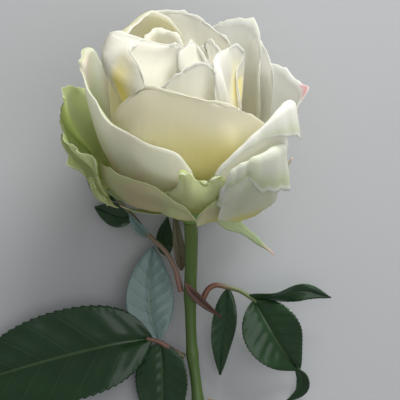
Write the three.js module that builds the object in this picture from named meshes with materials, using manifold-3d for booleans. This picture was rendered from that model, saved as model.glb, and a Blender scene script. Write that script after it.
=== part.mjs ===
// A cut white rose laid on a table: a half open bloom of 29 petals, its calyx, a stem with three
// compound leaves, and a few prickles. Millimetres, +Z up. The stem runs along Y, with the cut end at -Y
// and the bloom at +Y, and the table is z = 0.
import * as THREE from 'three';
import { mergeVertices } from 'three/addons/utils/BufferGeometryUtils.js';
import Module from 'manifold-3d';

const wasm = await Module();
wasm.setup();

// Driving dimensions
const BLOOM_LEAN = THREE.MathUtils.degToRad(27); // the bloom's axis rises this much from the table
const BLOOM_HEIGHT = 31.4; // where the petals grow from, above the table
const PETAL_THICKNESS = 0.6;
const PETAL_CLEARANCE = 1.35; // between the middles of two neighbouring petals
const GAP = 0.3; // between pieces that touch
const LEAF_THICKNESS = 0.7;
const CUT_END_Y = -226; // the far end of the stem
const STEM_RADIUS = 2.6;

// Grid of a petal: columns side to side, rows from the claw to the fold, then rows round the turned lip
const BLADE_ROWS = 24;
const LIP_ROWS = 8;
const COLUMNS = 32;
const SHOWN = { columns: 4, rows: [0, 4, 8, 12, 16, 20, 24, 28, 32] };
const HIDDEN = { columns: 4, rows: [0, 6, 12, 18, 24, 32] };

// Small helpers
const radians = THREE.MathUtils.degToRad;
const clamp = THREE.MathUtils.clamp;
const lerp = THREE.MathUtils.lerp;

function smooth(from, to, x) {
  const t = clamp((x - from) / (to - from), 0, 1);
  return t * t * (3 - 2 * t);
}

function grid(rows, columns, make) {
  return Array.from({ length: rows }, (_, j) => Array.from({ length: columns }, (_, i) => make(j, i)));
}

// A smooth line through points; t runs from 0 at the first to 1 at the last
function through(points, t) {
  const last = points.length - 1;
  const place = Math.min(t * last, last - 1e-9);
  const i = Math.floor(place);
  const s = place - i;
  const extra = (a, b) => a.map((value, k) => 2 * value - b[k]);
  const before = i > 0 ? points[i - 1] : extra(points[0], points[1]);
  const after = i + 2 <= last ? points[i + 2] : extra(points[last], points[last - 1]);
  return points[i].map((b, k) => {
    const [a, c, d] = [before[k], points[i + 1][k], after[k]];
    const bend = 2 * a - 5 * b + 4 * c - d;
    const twist = 3 * b - a - 3 * c + d;
    return 0.5 * (2 * b + (c - a) * s + bend * s ** 2 + twist * s ** 3);
  });
}

// Seeded random numbers, 0 to 1
function seeded(seed) {
  let state = seed;
  return () => {
    state = (state * 1664525 + 1013904223) % 4294967296;
    return state / 4294967296;
  };
}

// Bloom space: x to the right, y towards the viewer, z up the bloom's axis. Azimuth 0 faces the viewer.
const AXIS = new THREE.Vector3(0, Math.cos(BLOOM_LEAN), Math.sin(BLOOM_LEAN));
const FRONT = new THREE.Vector3(0, -Math.sin(BLOOM_LEAN), Math.cos(BLOOM_LEAN));
const BLOOM_BASE = new THREE.Vector3(0, 0, BLOOM_HEIGHT);

function toTable(p) {
  return new THREE.Vector3(p.x, 0, 0).addScaledVector(FRONT, p.y).addScaledVector(AXIS, p.z).add(BLOOM_BASE);
}

function polar(azimuth, radius, z) {
  return new THREE.Vector3(radius * Math.sin(azimuth), radius * Math.cos(azimuth), z);
}

// Rim of a plain rounded petal: [azimuth in degrees, radius, height] from its left side to its right
function roundRim(azimuth, half, radius, height, drop = 16, tip = 0) {
  return [-1, -0.86, -0.5, 0, 0.5, 0.86, 1].map((s) => [
    azimuth + half * s,
    radius - 0.05 * drop * s ** 4,
    height - drop * Math.abs(s) ** 5 + tip * (1 - Math.min(1, 2 * Math.abs(s))),
  ]);
}

const PLAIN_PETAL = {
  root: 5, // radius where the claw grows
  belly: 28, // radius of the fullest part
  bellyHeight: 24,
  baseHeight: 0,
  roundness: 2,
  wrap: 0, // how much one side lies outside the other
  close: [0.45, 0.45], // where the blade starts to leave the belly for its rim, at its two sides
  fan: null, // azimuths of the two sides, where they differ from the rim's
  lip: 2.5,
  roll: 35, // degrees that the lip turns outwards
  crease: 1, // share of the lip that turns; the rest is straight
  fold: 0, // extra width of the lip
  foldAt: 0, foldSpread: 9,
  ruffle: 0,
  looser: 0, // extra distance from the petals inside it
  detail: SHOWN,
};

// Petals in the order they lie, from the bud outwards. A rim is a list of
// [azimuth in degrees, radius, height], from the petal's left side to its right.
const PETALS = {
  petal_bud_1: {
    azimuth: 180, root: 1.5, belly: 3.5, bellyHeight: 26,
    rim: roundRim(180, 80, 2.5, 46, 10),
    lip: 1.2, roll: 10, detail: HIDDEN,
  },
  petal_bud_2: {
    azimuth: 40, root: 2, belly: 5, bellyHeight: 26,
    rim: roundRim(40, 75, 4, 47, 12),
    lip: 1.4, roll: 20, detail: HIDDEN,
  },
  petal_bud_3: {
    azimuth: -75, root: 2, belly: 7, bellyHeight: 26,
    rim: roundRim(-75, 75, 5.5, 48, 12),
    lip: 1.6, roll: 25, detail: HIDDEN,
  },
  petal_bud_4: {
    azimuth: 165, root: 2.5, belly: 9, bellyHeight: 26,
    rim: roundRim(165, 70, 7.5, 50, 14),
    lip: 2, roll: 30, detail: HIDDEN,
  },
  petal_bud_5: {
    azimuth: 60, root: 3, belly: 10.5, bellyHeight: 26,
    rim: roundRim(60, 65, 8.5, 47, 14),
    lip: 2, roll: 20, detail: HIDDEN,
  },
  petal_bud_6: {
    azimuth: -135, root: 3, belly: 16, bellyHeight: 32,
    rim: [[-98, 16, 46], [-105, 16.5, 51], [-113, 17, 54], [-123, 17.5, 55], [-134, 17.5, 55.5],
      [-144, 15, 55.5], [-153, 12, 54.5], [-162, 10, 51], [-168, 10, 45]],
    lip: 2.5, roll: 70, detail: HIDDEN,
  },
  // the left one, closed over the bud
  petal_inner_1: {
    azimuth: -105, root: 4, belly: 30.3, bellyHeight: 34, close: [0.6, 0.6], wrap: -3, fan: [-178, -40],
    rim: [[-176, 26.5, 38], [-172, 27, 48], [-162, 27.5, 54.5], [-147, 28.8, 57], [-130, 29.8, 53.5],
      [-110, 30.4, 50.5], [-92, 30, 49], [-74, 27, 47.5], [-58, 22.5, 45], [-43, 19.5, 39]],
    lip: 3, fold: 8.5, foldAt: 0.05, foldSpread: 6, roll: -80,
  },
  // the front of the heart
  petal_inner_2: {
    azimuth: -25, root: 3.5, belly: 24, bellyHeight: 30, close: [0.5, 0.5], fan: [-62, 20],
    rim: [[-41, 23.5, 42], [-42, 24.5, 49], [-53, 23.2, 53.5], [-74, 22.5, 56.5], [-86, 18.4, 57.5],
      [-94, 14.7, 58], [-104, 11, 58.5], [-73, 7.7, 57.5], [-65, 5, 57], [-19, 6.5, 56], [-14, 10.6, 53],
      [-5, 11, 47]],
    lip: 1.2, roll: -5, looser: 0.9,
  },
  petal_inner_3: {
    azimuth: 20, root: 3.5, belly: 14, bellyHeight: 28, close: [0.5, 0.5], fan: [-30, 58],
    rim: [[-25, 12, 46], [-22, 10.5, 50], [-23, 4.7, 54], [-10, 1, 58], [58, 3.9, 55.5], [46, 9, 53],
      [45, 12, 50], [50, 13, 45]],
    lip: 1, roll: 20,
  },
  petal_inner_4: {
    azimuth: 90, root: 3.5, belly: 15, bellyHeight: 28,
    rim: [[135, 8, 50], [132, 7.5, 55], [95, 8, 57], [72, 11, 55.5], [66, 13.5, 51], [64, 14, 45]],
    lip: 1.5, roll: 30, detail: HIDDEN,
  },
  petal_inner_5: {
    azimuth: 140, root: 3.5, belly: 16, bellyHeight: 28,
    rim: roundRim(140, 50, 14, 48.5, 14),
    lip: 2, roll: 30, detail: HIDDEN,
  },
  // the bright lip folded over the front
  petal_inner_6: {
    azimuth: -5, root: 4, belly: 23.5, bellyHeight: 28, fan: [-48, 42],
    rim: [[-41, 23.5, 42], [-27, 22, 48], [-19, 19.8, 51.5], [-10, 18, 53.5], [4, 15.8, 55], [22, 15, 55],
      [31, 17, 52], [33, 20, 47], [34, 22, 40]],
    lip: 1.2, roll: 20,
  },
  // the arch behind the heart
  petal_inner_7: {
    azimuth: 180, root: 4.5, belly: 27.5, bellyHeight: 30,
    rim: [[136, 26, 36], [141, 26.5, 42.5], [147, 27, 47], [154, 27, 49.7], [162, 27.2, 51.8],
      [170, 27.4, 54.2],
      [178, 27.6, 56.2], [186, 27.8, 57.2], [198, 28, 57.3], [210, 28, 56.5], [217, 28, 51], [222, 28, 41]],
    lip: 1.2, roll: 20, looser: 0.6,
  },
  // the smooth one that leans in from the right
  petal_inner_8: {
    azimuth: 52, root: 4.5, belly: 21, bellyHeight: 26, close: [0.5, 0.5], wrap: -4, fan: [22, 84],
    rim: [[30, 25, 32], [25, 23.5, 41], [27, 17.5, 50], [30, 14.8, 53.5], [46, 13.2, 56], [75, 14, 56.5],
      [89, 17, 56], [94, 20, 53], [89, 18.8, 49.5], [79, 17.5, 45.5], [71, 19, 41], [66, 21, 34]],
    lip: 1.2, roll: 15, looser: 0.6,
  },
  petal_middle_1: {
    azimuth: 142, root: 5, belly: 29.5, bellyHeight: 26,
    rim: [[172, 30, 34], [168, 30, 44], [164.5, 31, 50], [157, 31.5, 51.5], [148, 32.5, 53],
      [138, 34, 52.5], [128, 32.5, 48.5], [123, 31, 43], [120, 29.5, 36], [116, 29.5, 27]],
    lip: 1.5, fold: 1, roll: 50,
  },
  // the big cup at the front
  petal_middle_2: {
    azimuth: 0, root: 5, belly: 29, bellyHeight: 26,
    rim: [[-78, 29.5, 22], [-70, 29.5, 31], [-52, 29, 41.5], [-36, 28.5, 49.5],
      [-16, 27.5, 49.5], [8, 27, 47], [33, 27.5, 42], [52, 29, 36],
      [72, 30, 27], [78, 30, 18]],
    lip: 1.2, roll: -5, looser: 1,
  },
  petal_middle_3: {
    azimuth: 142, root: 5.5, belly: 32, bellyHeight: 25,
    rim: roundRim(140, 28, 34, 46.5, 12, 2),
    lip: 1.5, roll: 20, detail: HIDDEN,
  },
  petal_middle_4: {
    azimuth: 102, root: 5.5, belly: 31, bellyHeight: 22,
    rim: [[150, 32, 28], [138, 33.5, 35], [127, 34.5, 38.5], [114, 36, 38.5], [104, 38, 37.5], [94, 41, 35.5],
      [86, 37.5, 28], [75, 34, 18]],
    lip: 1.5, fold: 2, roll: 50,
  },
  // the left one, whose rim runs down to the front
  petal_middle_5: {
    azimuth: -72, root: 6, belly: 33.5, bellyHeight: 24,
    rim: [[-140, 33, 36], [-122, 36, 36.5], [-109, 38, 48.5], [-90, 38.5, 48.5],
      [-86, 39, 44.5], [-69, 37, 39.5], [-49, 34.5, 33], [-26, 34, 30],
      [-11, 34, 28], [-2, 35, 23], [2, 34, 16]],
    lip: 2.5, fold: 1.5, foldAt: 0.6, roll: 70,
  },
  petal_middle_6: {
    azimuth: -155, root: 6, belly: 31, bellyHeight: 28,
    rim: roundRim(-158, 45, 31.5, 42, 16),
    lip: 1.5, roll: 20, looser: 0.4, detail: HIDDEN,
  },
  petal_middle_7: {
    azimuth: 150, root: 6, belly: 33, bellyHeight: 28,
    rim: roundRim(158, 42, 33, 41, 16),
    lip: 1.5, roll: 30, looser: 0.2, detail: HIDDEN,
  },
  // the right one, its lip turned far down
  petal_middle_8: {
    azimuth: 54, root: 6.5, belly: 33, bellyHeight: 20,
    rim: [[14, 35.5, 10], [16.5, 36.5, 21], [27, 36, 28], [40, 36, 33.3], [53, 36.5, 37], [65, 37, 39],
      [72, 37.5, 38.5], [76, 37.5, 34]],
    lip: 3.5, fold: 14, foldAt: 0.65, foldSpread: 3.5, roll: 168, crease: 0.3, looser: 0.8,
  },
  // the crumpled one at the front
  petal_outer_1: {
    azimuth: 12, root: 9.4, belly: 33, bellyHeight: 14, baseHeight: -2, roundness: 2.5,
    rim: [[-18, 34, 8], [-8, 35.5, 15], [-2, 36, 20], [6, 36, 17], [19, 37, 17],
      [27, 38, 18.5], [33, 38, 16], [50, 36, 8]],
    lip: 2.5, fold: 4, foldAt: -0.5, foldSpread: 20, roll: 100, ruffle: 1, looser: 0.6,
  },
  petal_outer_2: {
    azimuth: -48, root: 10, belly: 33.5, bellyHeight: 10, baseHeight: -4, roundness: 2.4,
    rim: [[-98, 32, -2], [-90, 33, 5], [-78, 34, 10.5], [-65, 36, 14], [-54, 38, 15.5], [-42.5, 38.5, 15],
      [-27.5, 38, 13.5], [-18, 37.5, 10], [-8, 37, 6], [1, 36, 1.5], [6, 35, -3]],
    lip: 1.5, roll: 10,
  },
  // the green ear at the left
  petal_outer_3: {
    azimuth: -98, root: 7, belly: 36, bellyHeight: 22,
    rim: [[-130, 38, 28], [-121, 42, 25], [-105, 46, 32.5], [-81, 46.5, 36],
      [-86, 47.5, 27], [-77, 46, 22.5], [-66, 43, 20], [-62, 38, 12]],
    lip: 2.5, roll: 30, ruffle: 1, looser: 0.8,
  },
  petal_outer_4: {
    azimuth: 30, root: 10, belly: 36, bellyHeight: 10, baseHeight: -4, roundness: 2.4,
    rim: [[5, 35, -1], [14, 37, 6], [24, 38, 9], [32, 39, 12], [42, 40, 14], [62, 37, 4]],
    lip: 2, roll: 30,
  },
  petal_outer_5: {
    azimuth: -86, root: 8.6, belly: 34, bellyHeight: 12, baseHeight: -4, roundness: 2.4,
    rim: [[-116, 38, 8], [-100, 43, 15], [-85, 45.5, 19], [-77, 43, 16], [-70, 40, 12], [-65, 37, 6],
      [-62, 34, -1]],
    lip: 2.5, roll: 30, ruffle: 1,
  },
  petal_outer_6: {
    azimuth: 52, root: 10, belly: 34.5, bellyHeight: 14, baseHeight: -4, roundness: 2.4,
    rim: [[20, 36, 8], [21, 37.5, 17], [25, 38.5, 22.5], [32, 39, 25], [41, 38.5, 25.5], [52, 37.5, 25],
      [62, 36.5, 23.5], [70, 36, 19]],
    lip: 9, fold: 14, foldAt: 0.5, foldSpread: 4, roll: 168, crease: 0.22, ruffle: 0.6,
  },
  petal_outer_7: {
    azimuth: 180, root: 8, belly: 33, bellyHeight: 18, baseHeight: -4,
    rim: roundRim(180, 45, 35, 33, 12),
    lip: 2.5, roll: 50, detail: HIDDEN,
  },
};

const CLAW = 0.5; // share of a petal's spread where it grows from the hip
const CLAW_END = 0.45; // share of its height where it reaches its full spread
const ROW_SPACING = 1.6; // above 1, rows lie closer near the base
const WIDE_WAVES = 3; // waves of a ruffle across a petal
const FINE_WAVES = 7.62;
const FINE_SHARE = 0.4;
const LOW_FRONT_LOSS = 0.2; // share of its radius that the bloom's front loses at the base
const LOW_FRONT_TOP = 32; // height where it has its full radius again
const LOW_FRONT_SIDES = [0.3, 0.9]; // cosines of the azimuths where the loss starts and where it is full

// Radius of a petal's belly at height z: a part of a rounded square from its root
function bellyRadius(petal, z) {
  const t = clamp((z - petal.baseHeight) / (petal.bellyHeight - petal.baseHeight), 0, 1);
  const share = (1 - (1 - t) ** petal.roundness) ** (1 / petal.roundness);
  return petal.root + (petal.belly - petal.root) * share;
}

// The middle surface of a petal, row by row, before its neighbours push it
function petalSurface(petal) {
  const rimPlaces = petal.rim.map(([azimuth, radius, z]) => polar(radians(azimuth), radius, z).toArray());
  const azimuths = petal.rim.map(([azimuth]) => [azimuth]);
  const column = (i) => {
    const t = i / COLUMNS;
    const side = 2 * t - 1;
    const rim = new THREE.Vector3(...through(rimPlaces, t));
    const spread = petal.fan ? lerp(...petal.fan, t) : through(azimuths, t)[0];
    const bare = (v) => {
      const z = lerp(petal.baseHeight, rim.z, v ** ROW_SPACING);
      const radius = bellyRadius(petal, z) + petal.wrap * side * smooth(0, 0.4, v);
      const share = CLAW + (1 - CLAW) * smooth(0, CLAW_END, v);
      return polar(radians(petal.azimuth + (spread - petal.azimuth) * share), radius, z);
    };
    const shift = rim.clone().sub(bare(1));
    return Array.from({ length: BLADE_ROWS + 1 }, (_, j) => {
      const v = j / BLADE_ROWS;
      return bare(v).addScaledVector(shift, smooth(lerp(...petal.close, t), 1, v) ** 1.2);
    });
  };
  const columns = Array.from({ length: COLUMNS + 1 }, (_, i) => column(i));
  const blade = grid(BLADE_ROWS + 1, COLUMNS + 1, (j, i) => columns[i][j]);
  return ruffled(petal, blade.concat(lipRows(petal, blade)));
}

// Rows that carry on past the fold and turn outwards on an arc
function lipRows(petal, blade) {
  const fold = blade[BLADE_ROWS];
  const below = blade[BLADE_ROWS - 1];
  const along = fold.map((p, i) => p.clone().sub(below[i]).normalize());
  const across = fold.map((_, i) => {
    const [a, b] = [fold[Math.max(i - 1, 0)], fold[Math.min(i + 1, COLUMNS)]];
    return b.clone().sub(a);
  });
  const outward = along.map((direction, i) => direction.clone().cross(across[i]).normalize());
  const facing = outward.reduce((sum, n, i) => {
    const flat = Math.abs(n.x) + Math.abs(n.y);
    return sum + (flat < 0.2 ? -Math.sign(n.z) : Math.sign(n.x * fold[i].x + n.y * fold[i].y));
  }, 0);
  return grid(LIP_ROWS, COLUMNS + 1, (j, i) => {
    const side = (2 * i) / COLUMNS - 1;
    const bump = Math.exp((-((2 * (side - petal.foldAt)) ** 2) * petal.foldSpread) / 4);
    const width = (petal.lip + petal.fold * bump) * (1 - 0.8 * side ** 8);
    const roll = radians(petal.roll);
    const bend = roll / (width * petal.crease);
    const reach = (width * (j + 1)) / LIP_ROWS;
    const turn = clamp(bend * reach, Math.min(roll, 0), Math.max(roll, 0));
    const straight = reach - turn / bend;
    const ahead = Math.sin(turn) / bend + straight * Math.cos(roll);
    const aside = (1 - Math.cos(turn)) / bend + straight * Math.sin(roll);
    return fold[i].clone()
      .addScaledVector(along[i], ahead)
      .addScaledVector(outward[i], Math.sign(facing || 1) * aside);
  });
}

// The same surface with waves that grow towards the lip
function ruffled(petal, surface) {
  if (!petal.ruffle) return surface;
  const normals = normalsOf(surface);
  const last = surface.length - 1;
  return grid(surface.length, COLUMNS + 1, (j, i) => {
    const side = (2 * i) / COLUMNS - 1;
    const v = j / last;
    const wide = Math.sin(WIDE_WAVES * Math.PI * side) * smooth(0.5, 1, v) ** 1.5;
    const fine = FINE_SHARE * Math.sin(FINE_WAVES * Math.PI * side) * smooth(0.7, 1, v);
    return surface[j][i].clone().addScaledVector(normals[j][i], petal.ruffle * (wide + fine));
  });
}

// Direction that each point of a surface faces
function normalsOf(surface) {
  const [rows, columns] = [surface.length, surface[0].length];
  return grid(rows, columns, (j, i) => {
    const [left, right] = [surface[j][Math.max(i - 1, 0)], surface[j][Math.min(i + 1, columns - 1)]];
    const [low, high] = [surface[Math.max(j - 1, 0)][i], surface[Math.min(j + 1, rows - 1)][i]];
    return right.clone().sub(left).cross(high.clone().sub(low)).normalize();
  });
}

// What the petals laid so far fill: for each direction and height, the furthest radius.
// Each new petal is pushed out past it, as petals in a real bud press on each other.
const DIRECTIONS = 180;
const HEIGHTS = 84;
const LOWEST = -12;
const SPREAD = 2; // cells that the fill is widened and smoothed by
const FILL_STEPS = 4; // places tried along each edge of a petal's grid
const EASING_PASSES = 3;
const filled = Array.from({ length: DIRECTIONS }, () => new Float64Array(HEIGHTS));

// Direction that a point lies in, as a share of a full turn
function turnOf(p) {
  const turn = Math.atan2(p.x, p.y) / (2 * Math.PI);
  return turn - Math.floor(turn);
}

function fill(p) {
  const i = Math.floor(turnOf(p) * DIRECTIONS) % DIRECTIONS;
  const j = clamp(Math.floor(p.z - LOWEST), 0, HEIGHTS - 1);
  filled[i][j] = Math.max(filled[i][j], Math.hypot(p.x, p.y));
}

// Adds a petal, with the clearance outside it, to what is filled
function fillWith(surface) {
  const normals = normalsOf(surface);
  const outside = surface.map((row, j) => row.map((p, i) => {
    const n = normals[j][i];
    const radius = Math.max(Math.hypot(p.x, p.y), 1e-6);
    const facing = Math.sign((n.x * p.x + n.y * p.y) / radius - 0.3 * n.z) || 1;
    return p.clone().addScaledVector(n, facing * PETAL_CLEARANCE);
  }));
  for (const layer of [surface, outside]) {
    for (let j = 0; j <= (layer.length - 1) * FILL_STEPS; j++) {
      for (let i = 0; i <= COLUMNS * FILL_STEPS; i++) {
        const row = Math.min(Math.floor(j / FILL_STEPS), layer.length - 2);
        const column = Math.min(Math.floor(i / FILL_STEPS), COLUMNS - 1);
        const [s, t] = [j / FILL_STEPS - row, i / FILL_STEPS - column];
        const near = layer[row][column].clone().lerp(layer[row][column + 1], t);
        const far = layer[row + 1][column].clone().lerp(layer[row + 1][column + 1], t);
        fill(near.lerp(far, s));
      }
    }
  }
}

// The same cells, moved round by di directions and up by dj heights
function wrapped(cells, di, dj) {
  return grid(DIRECTIONS, HEIGHTS, (i, j) =>
    cells[(i + di + DIRECTIONS) % DIRECTIONS][(j + dj + HEIGHTS) % HEIGHTS]);
}

// The fill, widened and then averaged over its neighbours
function smoothedFill() {
  let cells = filled;
  for (const combine of [Math.max, (a, b) => a + b]) {
    for (const [di, dj] of [[1, 0], [0, 1]]) {
      let sum = cells;
      for (let k = 1; k <= SPREAD; k++) {
        for (const sign of [-1, 1]) {
          const moved = wrapped(cells, sign * k * di, sign * k * dj);
          sum = grid(DIRECTIONS, HEIGHTS, (i, j) => combine(sum[i][j], moved[i][j]));
        }
      }
      const share = combine === Math.max ? 1 : 1 / (2 * SPREAD + 1);
      cells = grid(DIRECTIONS, HEIGHTS, (i, j) => sum[i][j] * share);
    }
  }
  return cells;
}

// The same surface, pushed outwards past what is filled
function pushedClear(surface, looser) {
  const cells = smoothedFill();
  const columns = surface[0].length;
  let push = grid(surface.length, columns, (j, i) => {
    const p = surface[j][i];
    const place = turnOf(p) * DIRECTIONS - 0.5;
    const level = clamp(p.z - LOWEST - 0.5, 0, HEIGHTS - 1.001);
    const [a, b] = [Math.floor(place), Math.floor(level)];
    const cell = (da, db) => cells[(a + da + DIRECTIONS) % DIRECTIONS][b + db];
    const low = lerp(cell(0, 0), cell(1, 0), place - a);
    const high = lerp(cell(0, 1), cell(1, 1), place - a);
    const full = lerp(low, high, level - b);
    return full > 0 ? Math.max(full + looser - Math.hypot(p.x, p.y), 0) : 0;
  });
  for (let pass = 0; pass < EASING_PASSES; pass++) {
    const now = push;
    const at = (j, i) => now[clamp(j, 0, now.length - 1)][clamp(i, 0, columns - 1)];
    push = grid(now.length, columns, (j, i) =>
      Math.max(at(j, i), (at(j, i) + at(j - 1, i) + at(j + 1, i) + at(j, i - 1) + at(j, i + 1)) / 5));
  }
  return grid(surface.length, columns, (j, i) => {
    const p = surface[j][i];
    const radius = Math.max(Math.hypot(p.x, p.y), 1e-6);
    const stretch = (radius + push[j][i]) / radius;
    return new THREE.Vector3(p.x * stretch, p.y * stretch, p.z);
  });
}

// The same surface, narrower low down at the front, where the bloom leans over the stem
function drawnIn(surface) {
  return surface.map((row) => row.map((p) => {
    const front = smooth(...LOW_FRONT_SIDES, p.y / Math.max(Math.hypot(p.x, p.y), 1e-6));
    const low = 1 - smooth(0, LOW_FRONT_TOP, p.z);
    const share = 1 - LOW_FRONT_LOSS * front * low;
    return new THREE.Vector3(p.x * share, p.y * share, p.z);
  }));
}

const LEAST_FULL = 0.8; // a prism emptier than this is twisted, and its hull takes its place
const ALL_HULLS = 2; // no prism is that full, so each gives way to its hull

// A closed sheet round a middle surface, joined from a prism for each facet, so that a sheet that
// folds back onto itself is still one clean solid. Nothing of it goes below the table.
function sheet(surface, thickness, leastFull = LEAST_FULL) {
  const columns = surface[0].length;
  const normals = normalsOf(surface);
  const face = (side) => surface.flatMap((row, j) => row.map((p, i) => {
    const corner = p.clone().addScaledVector(normals[j][i], (side * thickness) / 2);
    const above = normals[j][i].z * side > 0;
    return corner.setZ(Math.max(corner.z, above ? thickness : 0));
  }));
  const [front, back] = [face(1), face(-1)];
  const prisms = [];
  for (let j = 0; j < surface.length - 1; j++) {
    for (let i = 0; i < columns - 1; i++) {
      const [a, b] = [j * columns + i, j * columns + i + 1];
      const [c, d] = [b + columns, a + columns];
      prisms.push(...[[a, b, c], [a, c, d]].map((facet) => prism(front, back, facet, leastFull)));
    }
  }
  return largest(wasm.Manifold.union(prisms));
}


// The solid between a facet of the front face and the same facet of the back face. Each side is split
// from the front of its lower corner, which the next prism does too.
function prism(front, back, facet, leastFull) {
  const faces = [[0, 1, 2], [5, 4, 3]];
  for (const [from, to] of [[0, 1], [1, 2], [2, 0]]) {
    const sides = facet[from] < facet[to]
      ? [[from + 3, to + 3, from], [to + 3, to, from]]
      : [[from + 3, to + 3, to], [from + 3, to, from]];
    faces.push(...sides);
  }
  const corners = [...facet.map((k) => front[k]), ...facet.map((k) => back[k])];
  const body = solidOf(corners, faces.flat());
  const hull = body.hull();
  return body.volume() > leastFull * hull.volume() ? body : hull;
}

// Solids for cutting and joining
function solidOf(corners, faces) {
  return new wasm.Manifold(new wasm.Mesh({
    numProp: 3,
    vertProperties: new Float32Array(corners.flatMap((corner) => corner.toArray())),
    triVerts: new Uint32Array(faces),
  }));
}

function solid(geometry) {
  const bare = geometry.clone();
  bare.deleteAttribute('normal');
  bare.deleteAttribute('uv');
  const merged = mergeVertices(bare, 1e-5);
  return new wasm.Manifold(new wasm.Mesh({
    numProp: 3,
    vertProperties: new Float32Array(merged.attributes.position.array),
    triVerts: new Uint32Array(merged.index.array),
  }));
}

const SHORTEST_EDGE = 0.1; // shorter ones are closed up

function geometryFrom(body) {
  const mesh = largest(body.simplify(SHORTEST_EDGE)).getMesh();
  const geometry = new THREE.BufferGeometry();
  geometry.setAttribute('position', new THREE.BufferAttribute(new Float32Array(mesh.vertProperties), 3));
  geometry.setIndex(new THREE.BufferAttribute(new Uint32Array(mesh.triVerts), 1));
  return geometry;
}

// The largest piece of a solid, without loose scraps and sealed hollows
function largest(body) {
  return body.decompose().reduce((best, piece) => (piece.volume() > best.volume() ? piece : best));
}

function joined(bodies) {
  return largest(bodies.reduce((sum, body) => sum.add(body)));
}

// Every petal, pushed clear of those inside it and then cut back wherever a flat facet still comes
// too near
function petalMeshes() {
  const laid = [];
  return Object.entries(PETALS).map(([name, given]) => {
    const petal = { ...PLAIN_PETAL, ...given };
    const pushed = pushedClear(petalSurface(petal), petal.looser);
    fillWith(pushed);
    const surface = drawnIn(pushed);
    const { columns, rows } = petal.detail;
    const place = (j, i) => toTable(surface[rows[j]][i * columns]);
    const coarse = grid(rows.length, COLUMNS / columns + 1, place);
    const thick = sheet(coarse, PETAL_THICKNESS + 2 * GAP, ALL_HULLS);
    let body = sheet(coarse, PETAL_THICKNESS);
    for (const inner of laid) {
      if (body.intersect(inner).isEmpty()) continue;
      body = largest(body.subtract(inner));
    }
    laid.push(thick);
    return named(name, geometryFrom(body), petalPaint);
  });
}

// Stem: a tapered tube through these places, thicker where the leaves join it
const STEM_LINE = [[0, -14.7, 23.9], [0.4, -20, 21.4], [0.3, -30, 17.5], [0, -45, 13], [0.6, -64, 9.2],
  [2.9, -84, 7], [5, -120, 5.2], [7, -170, 3.7], [8, CUT_END_Y, 2.3]];
const STEM_RINGS = 34;
const STEM_SIDES = 10;
const LEAF_JOINTS = [-43, -66, -84]; // where along Y the leaves and the side bud join

function stemRadius(y) {
  const swollen = (joint) => 0.35 * Math.exp(-(((y - joint) / 3) ** 2));
  const swelling = LEAF_JOINTS.reduce((sum, joint) => sum + swollen(joint), 0);
  const waist = 0.5 * smooth(-15, -60, y) - 0.25 * smooth(-100, -200, y);
  return STEM_RADIUS - waist + swelling;
}

// A closed tube; radiusAt gives its radius for a place, and endSlant tilts the last ring
function tube(line, rings, sides, radiusAt, endSlant = 0) {
  const up = new THREE.Vector3(0, 0, 1);
  const corners = [];
  for (let j = 0; j <= rings; j++) {
    const t = j / rings;
    const centre = new THREE.Vector3(...through(line, t));
    const ahead = new THREE.Vector3(...through(line, Math.min(t + 0.01, 1)));
    const behind = new THREE.Vector3(...through(line, Math.max(t - 0.01, 0)));
    const along = ahead.sub(behind).normalize();
    const side = along.clone().cross(up).normalize();
    const top = side.clone().cross(along);
    const radius = radiusAt(centre, t);
    for (let i = 0; i < sides; i++) {
      const turn = ((i + 0.5) / sides) * 2 * Math.PI;
      const slant = j === rings ? endSlant * Math.cos(turn) : 0;
      corners.push(centre.clone()
        .addScaledVector(side, radius * Math.cos(turn))
        .addScaledVector(top, radius * Math.sin(turn))
        .addScaledVector(along, slant));
    }
  }
  const first = corners.length;
  corners.push(new THREE.Vector3(...line[0]), new THREE.Vector3(...line[line.length - 1]));
  corners.forEach((corner) => { corner.z = Math.max(corner.z, 0); });
  const faces = [];
  for (let i = 0; i < sides; i++) {
    const next = (i + 1) % sides;
    for (let j = 0; j < rings; j++) {
      const [a, b, c, d] = [j * sides + i, j * sides + next, (j + 1) * sides + next, (j + 1) * sides + i];
      faces.push(a, c, b, a, d, c);
    }
    faces.push(first, i, next);
    faces.push(first + 1, rings * sides + next, rings * sides + i);
  }
  return solidOf(corners, faces);
}

const PRICKLES = 4;
const PRICKLE_HEIGHT = 3.2;
const PRICKLE_ROOT = 1.1; // radius where it leaves the stem

function prickles() {
  const random = seeded(7);
  return Array.from({ length: PRICKLES }, (_, k) => {
    const t = 0.68 + (0.27 * (k + 0.5 * random())) / PRICKLES;
    const centre = new THREE.Vector3(...through(STEM_LINE, t));
    const turn = radians(20 + 140 * random());
    const out = new THREE.Vector3(Math.cos(turn), 0.25, Math.sin(turn)).normalize();
    const cone = new THREE.ConeGeometry(PRICKLE_ROOT, PRICKLE_HEIGHT, 6);
    cone.applyQuaternion(new THREE.Quaternion().setFromUnitVectors(new THREE.Vector3(0, 1, 0), out));
    const middle = centre.addScaledVector(out, stemRadius(centre.y) - 0.8 + PRICKLE_HEIGHT / 2);
    cone.translate(middle.x, middle.y, middle.z);
    return solid(cone);
  });
}

function stem() {
  const shaft = tube(STEM_LINE, STEM_RINGS, STEM_SIDES, (centre) => stemRadius(centre.y), 1.6);
  return geometryFrom(joined([shaft, ...prickles()]));
}

// Calyx: the hip under the petals, and five sepals
const HIP_PROFILE = [[0, -0.8], [6.4, -0.8], [7, -2.6], [7.3, -5], [7.2, -7.4], [6.1, -10.5], [4.5, -13.4],
  [2.9, -16.1], [0, -16.1]];
const HIP_SIDES = 16;
const SEPAL_THICKNESS = 0.8;
const SEPAL_ROWS = 8;
const SEPAL_NECK = 0.65; // share of its width that a sepal loses past its middle
const SEPAL_TURN_END = 0.3; // share of its length where a turned sepal has its full turn
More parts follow.
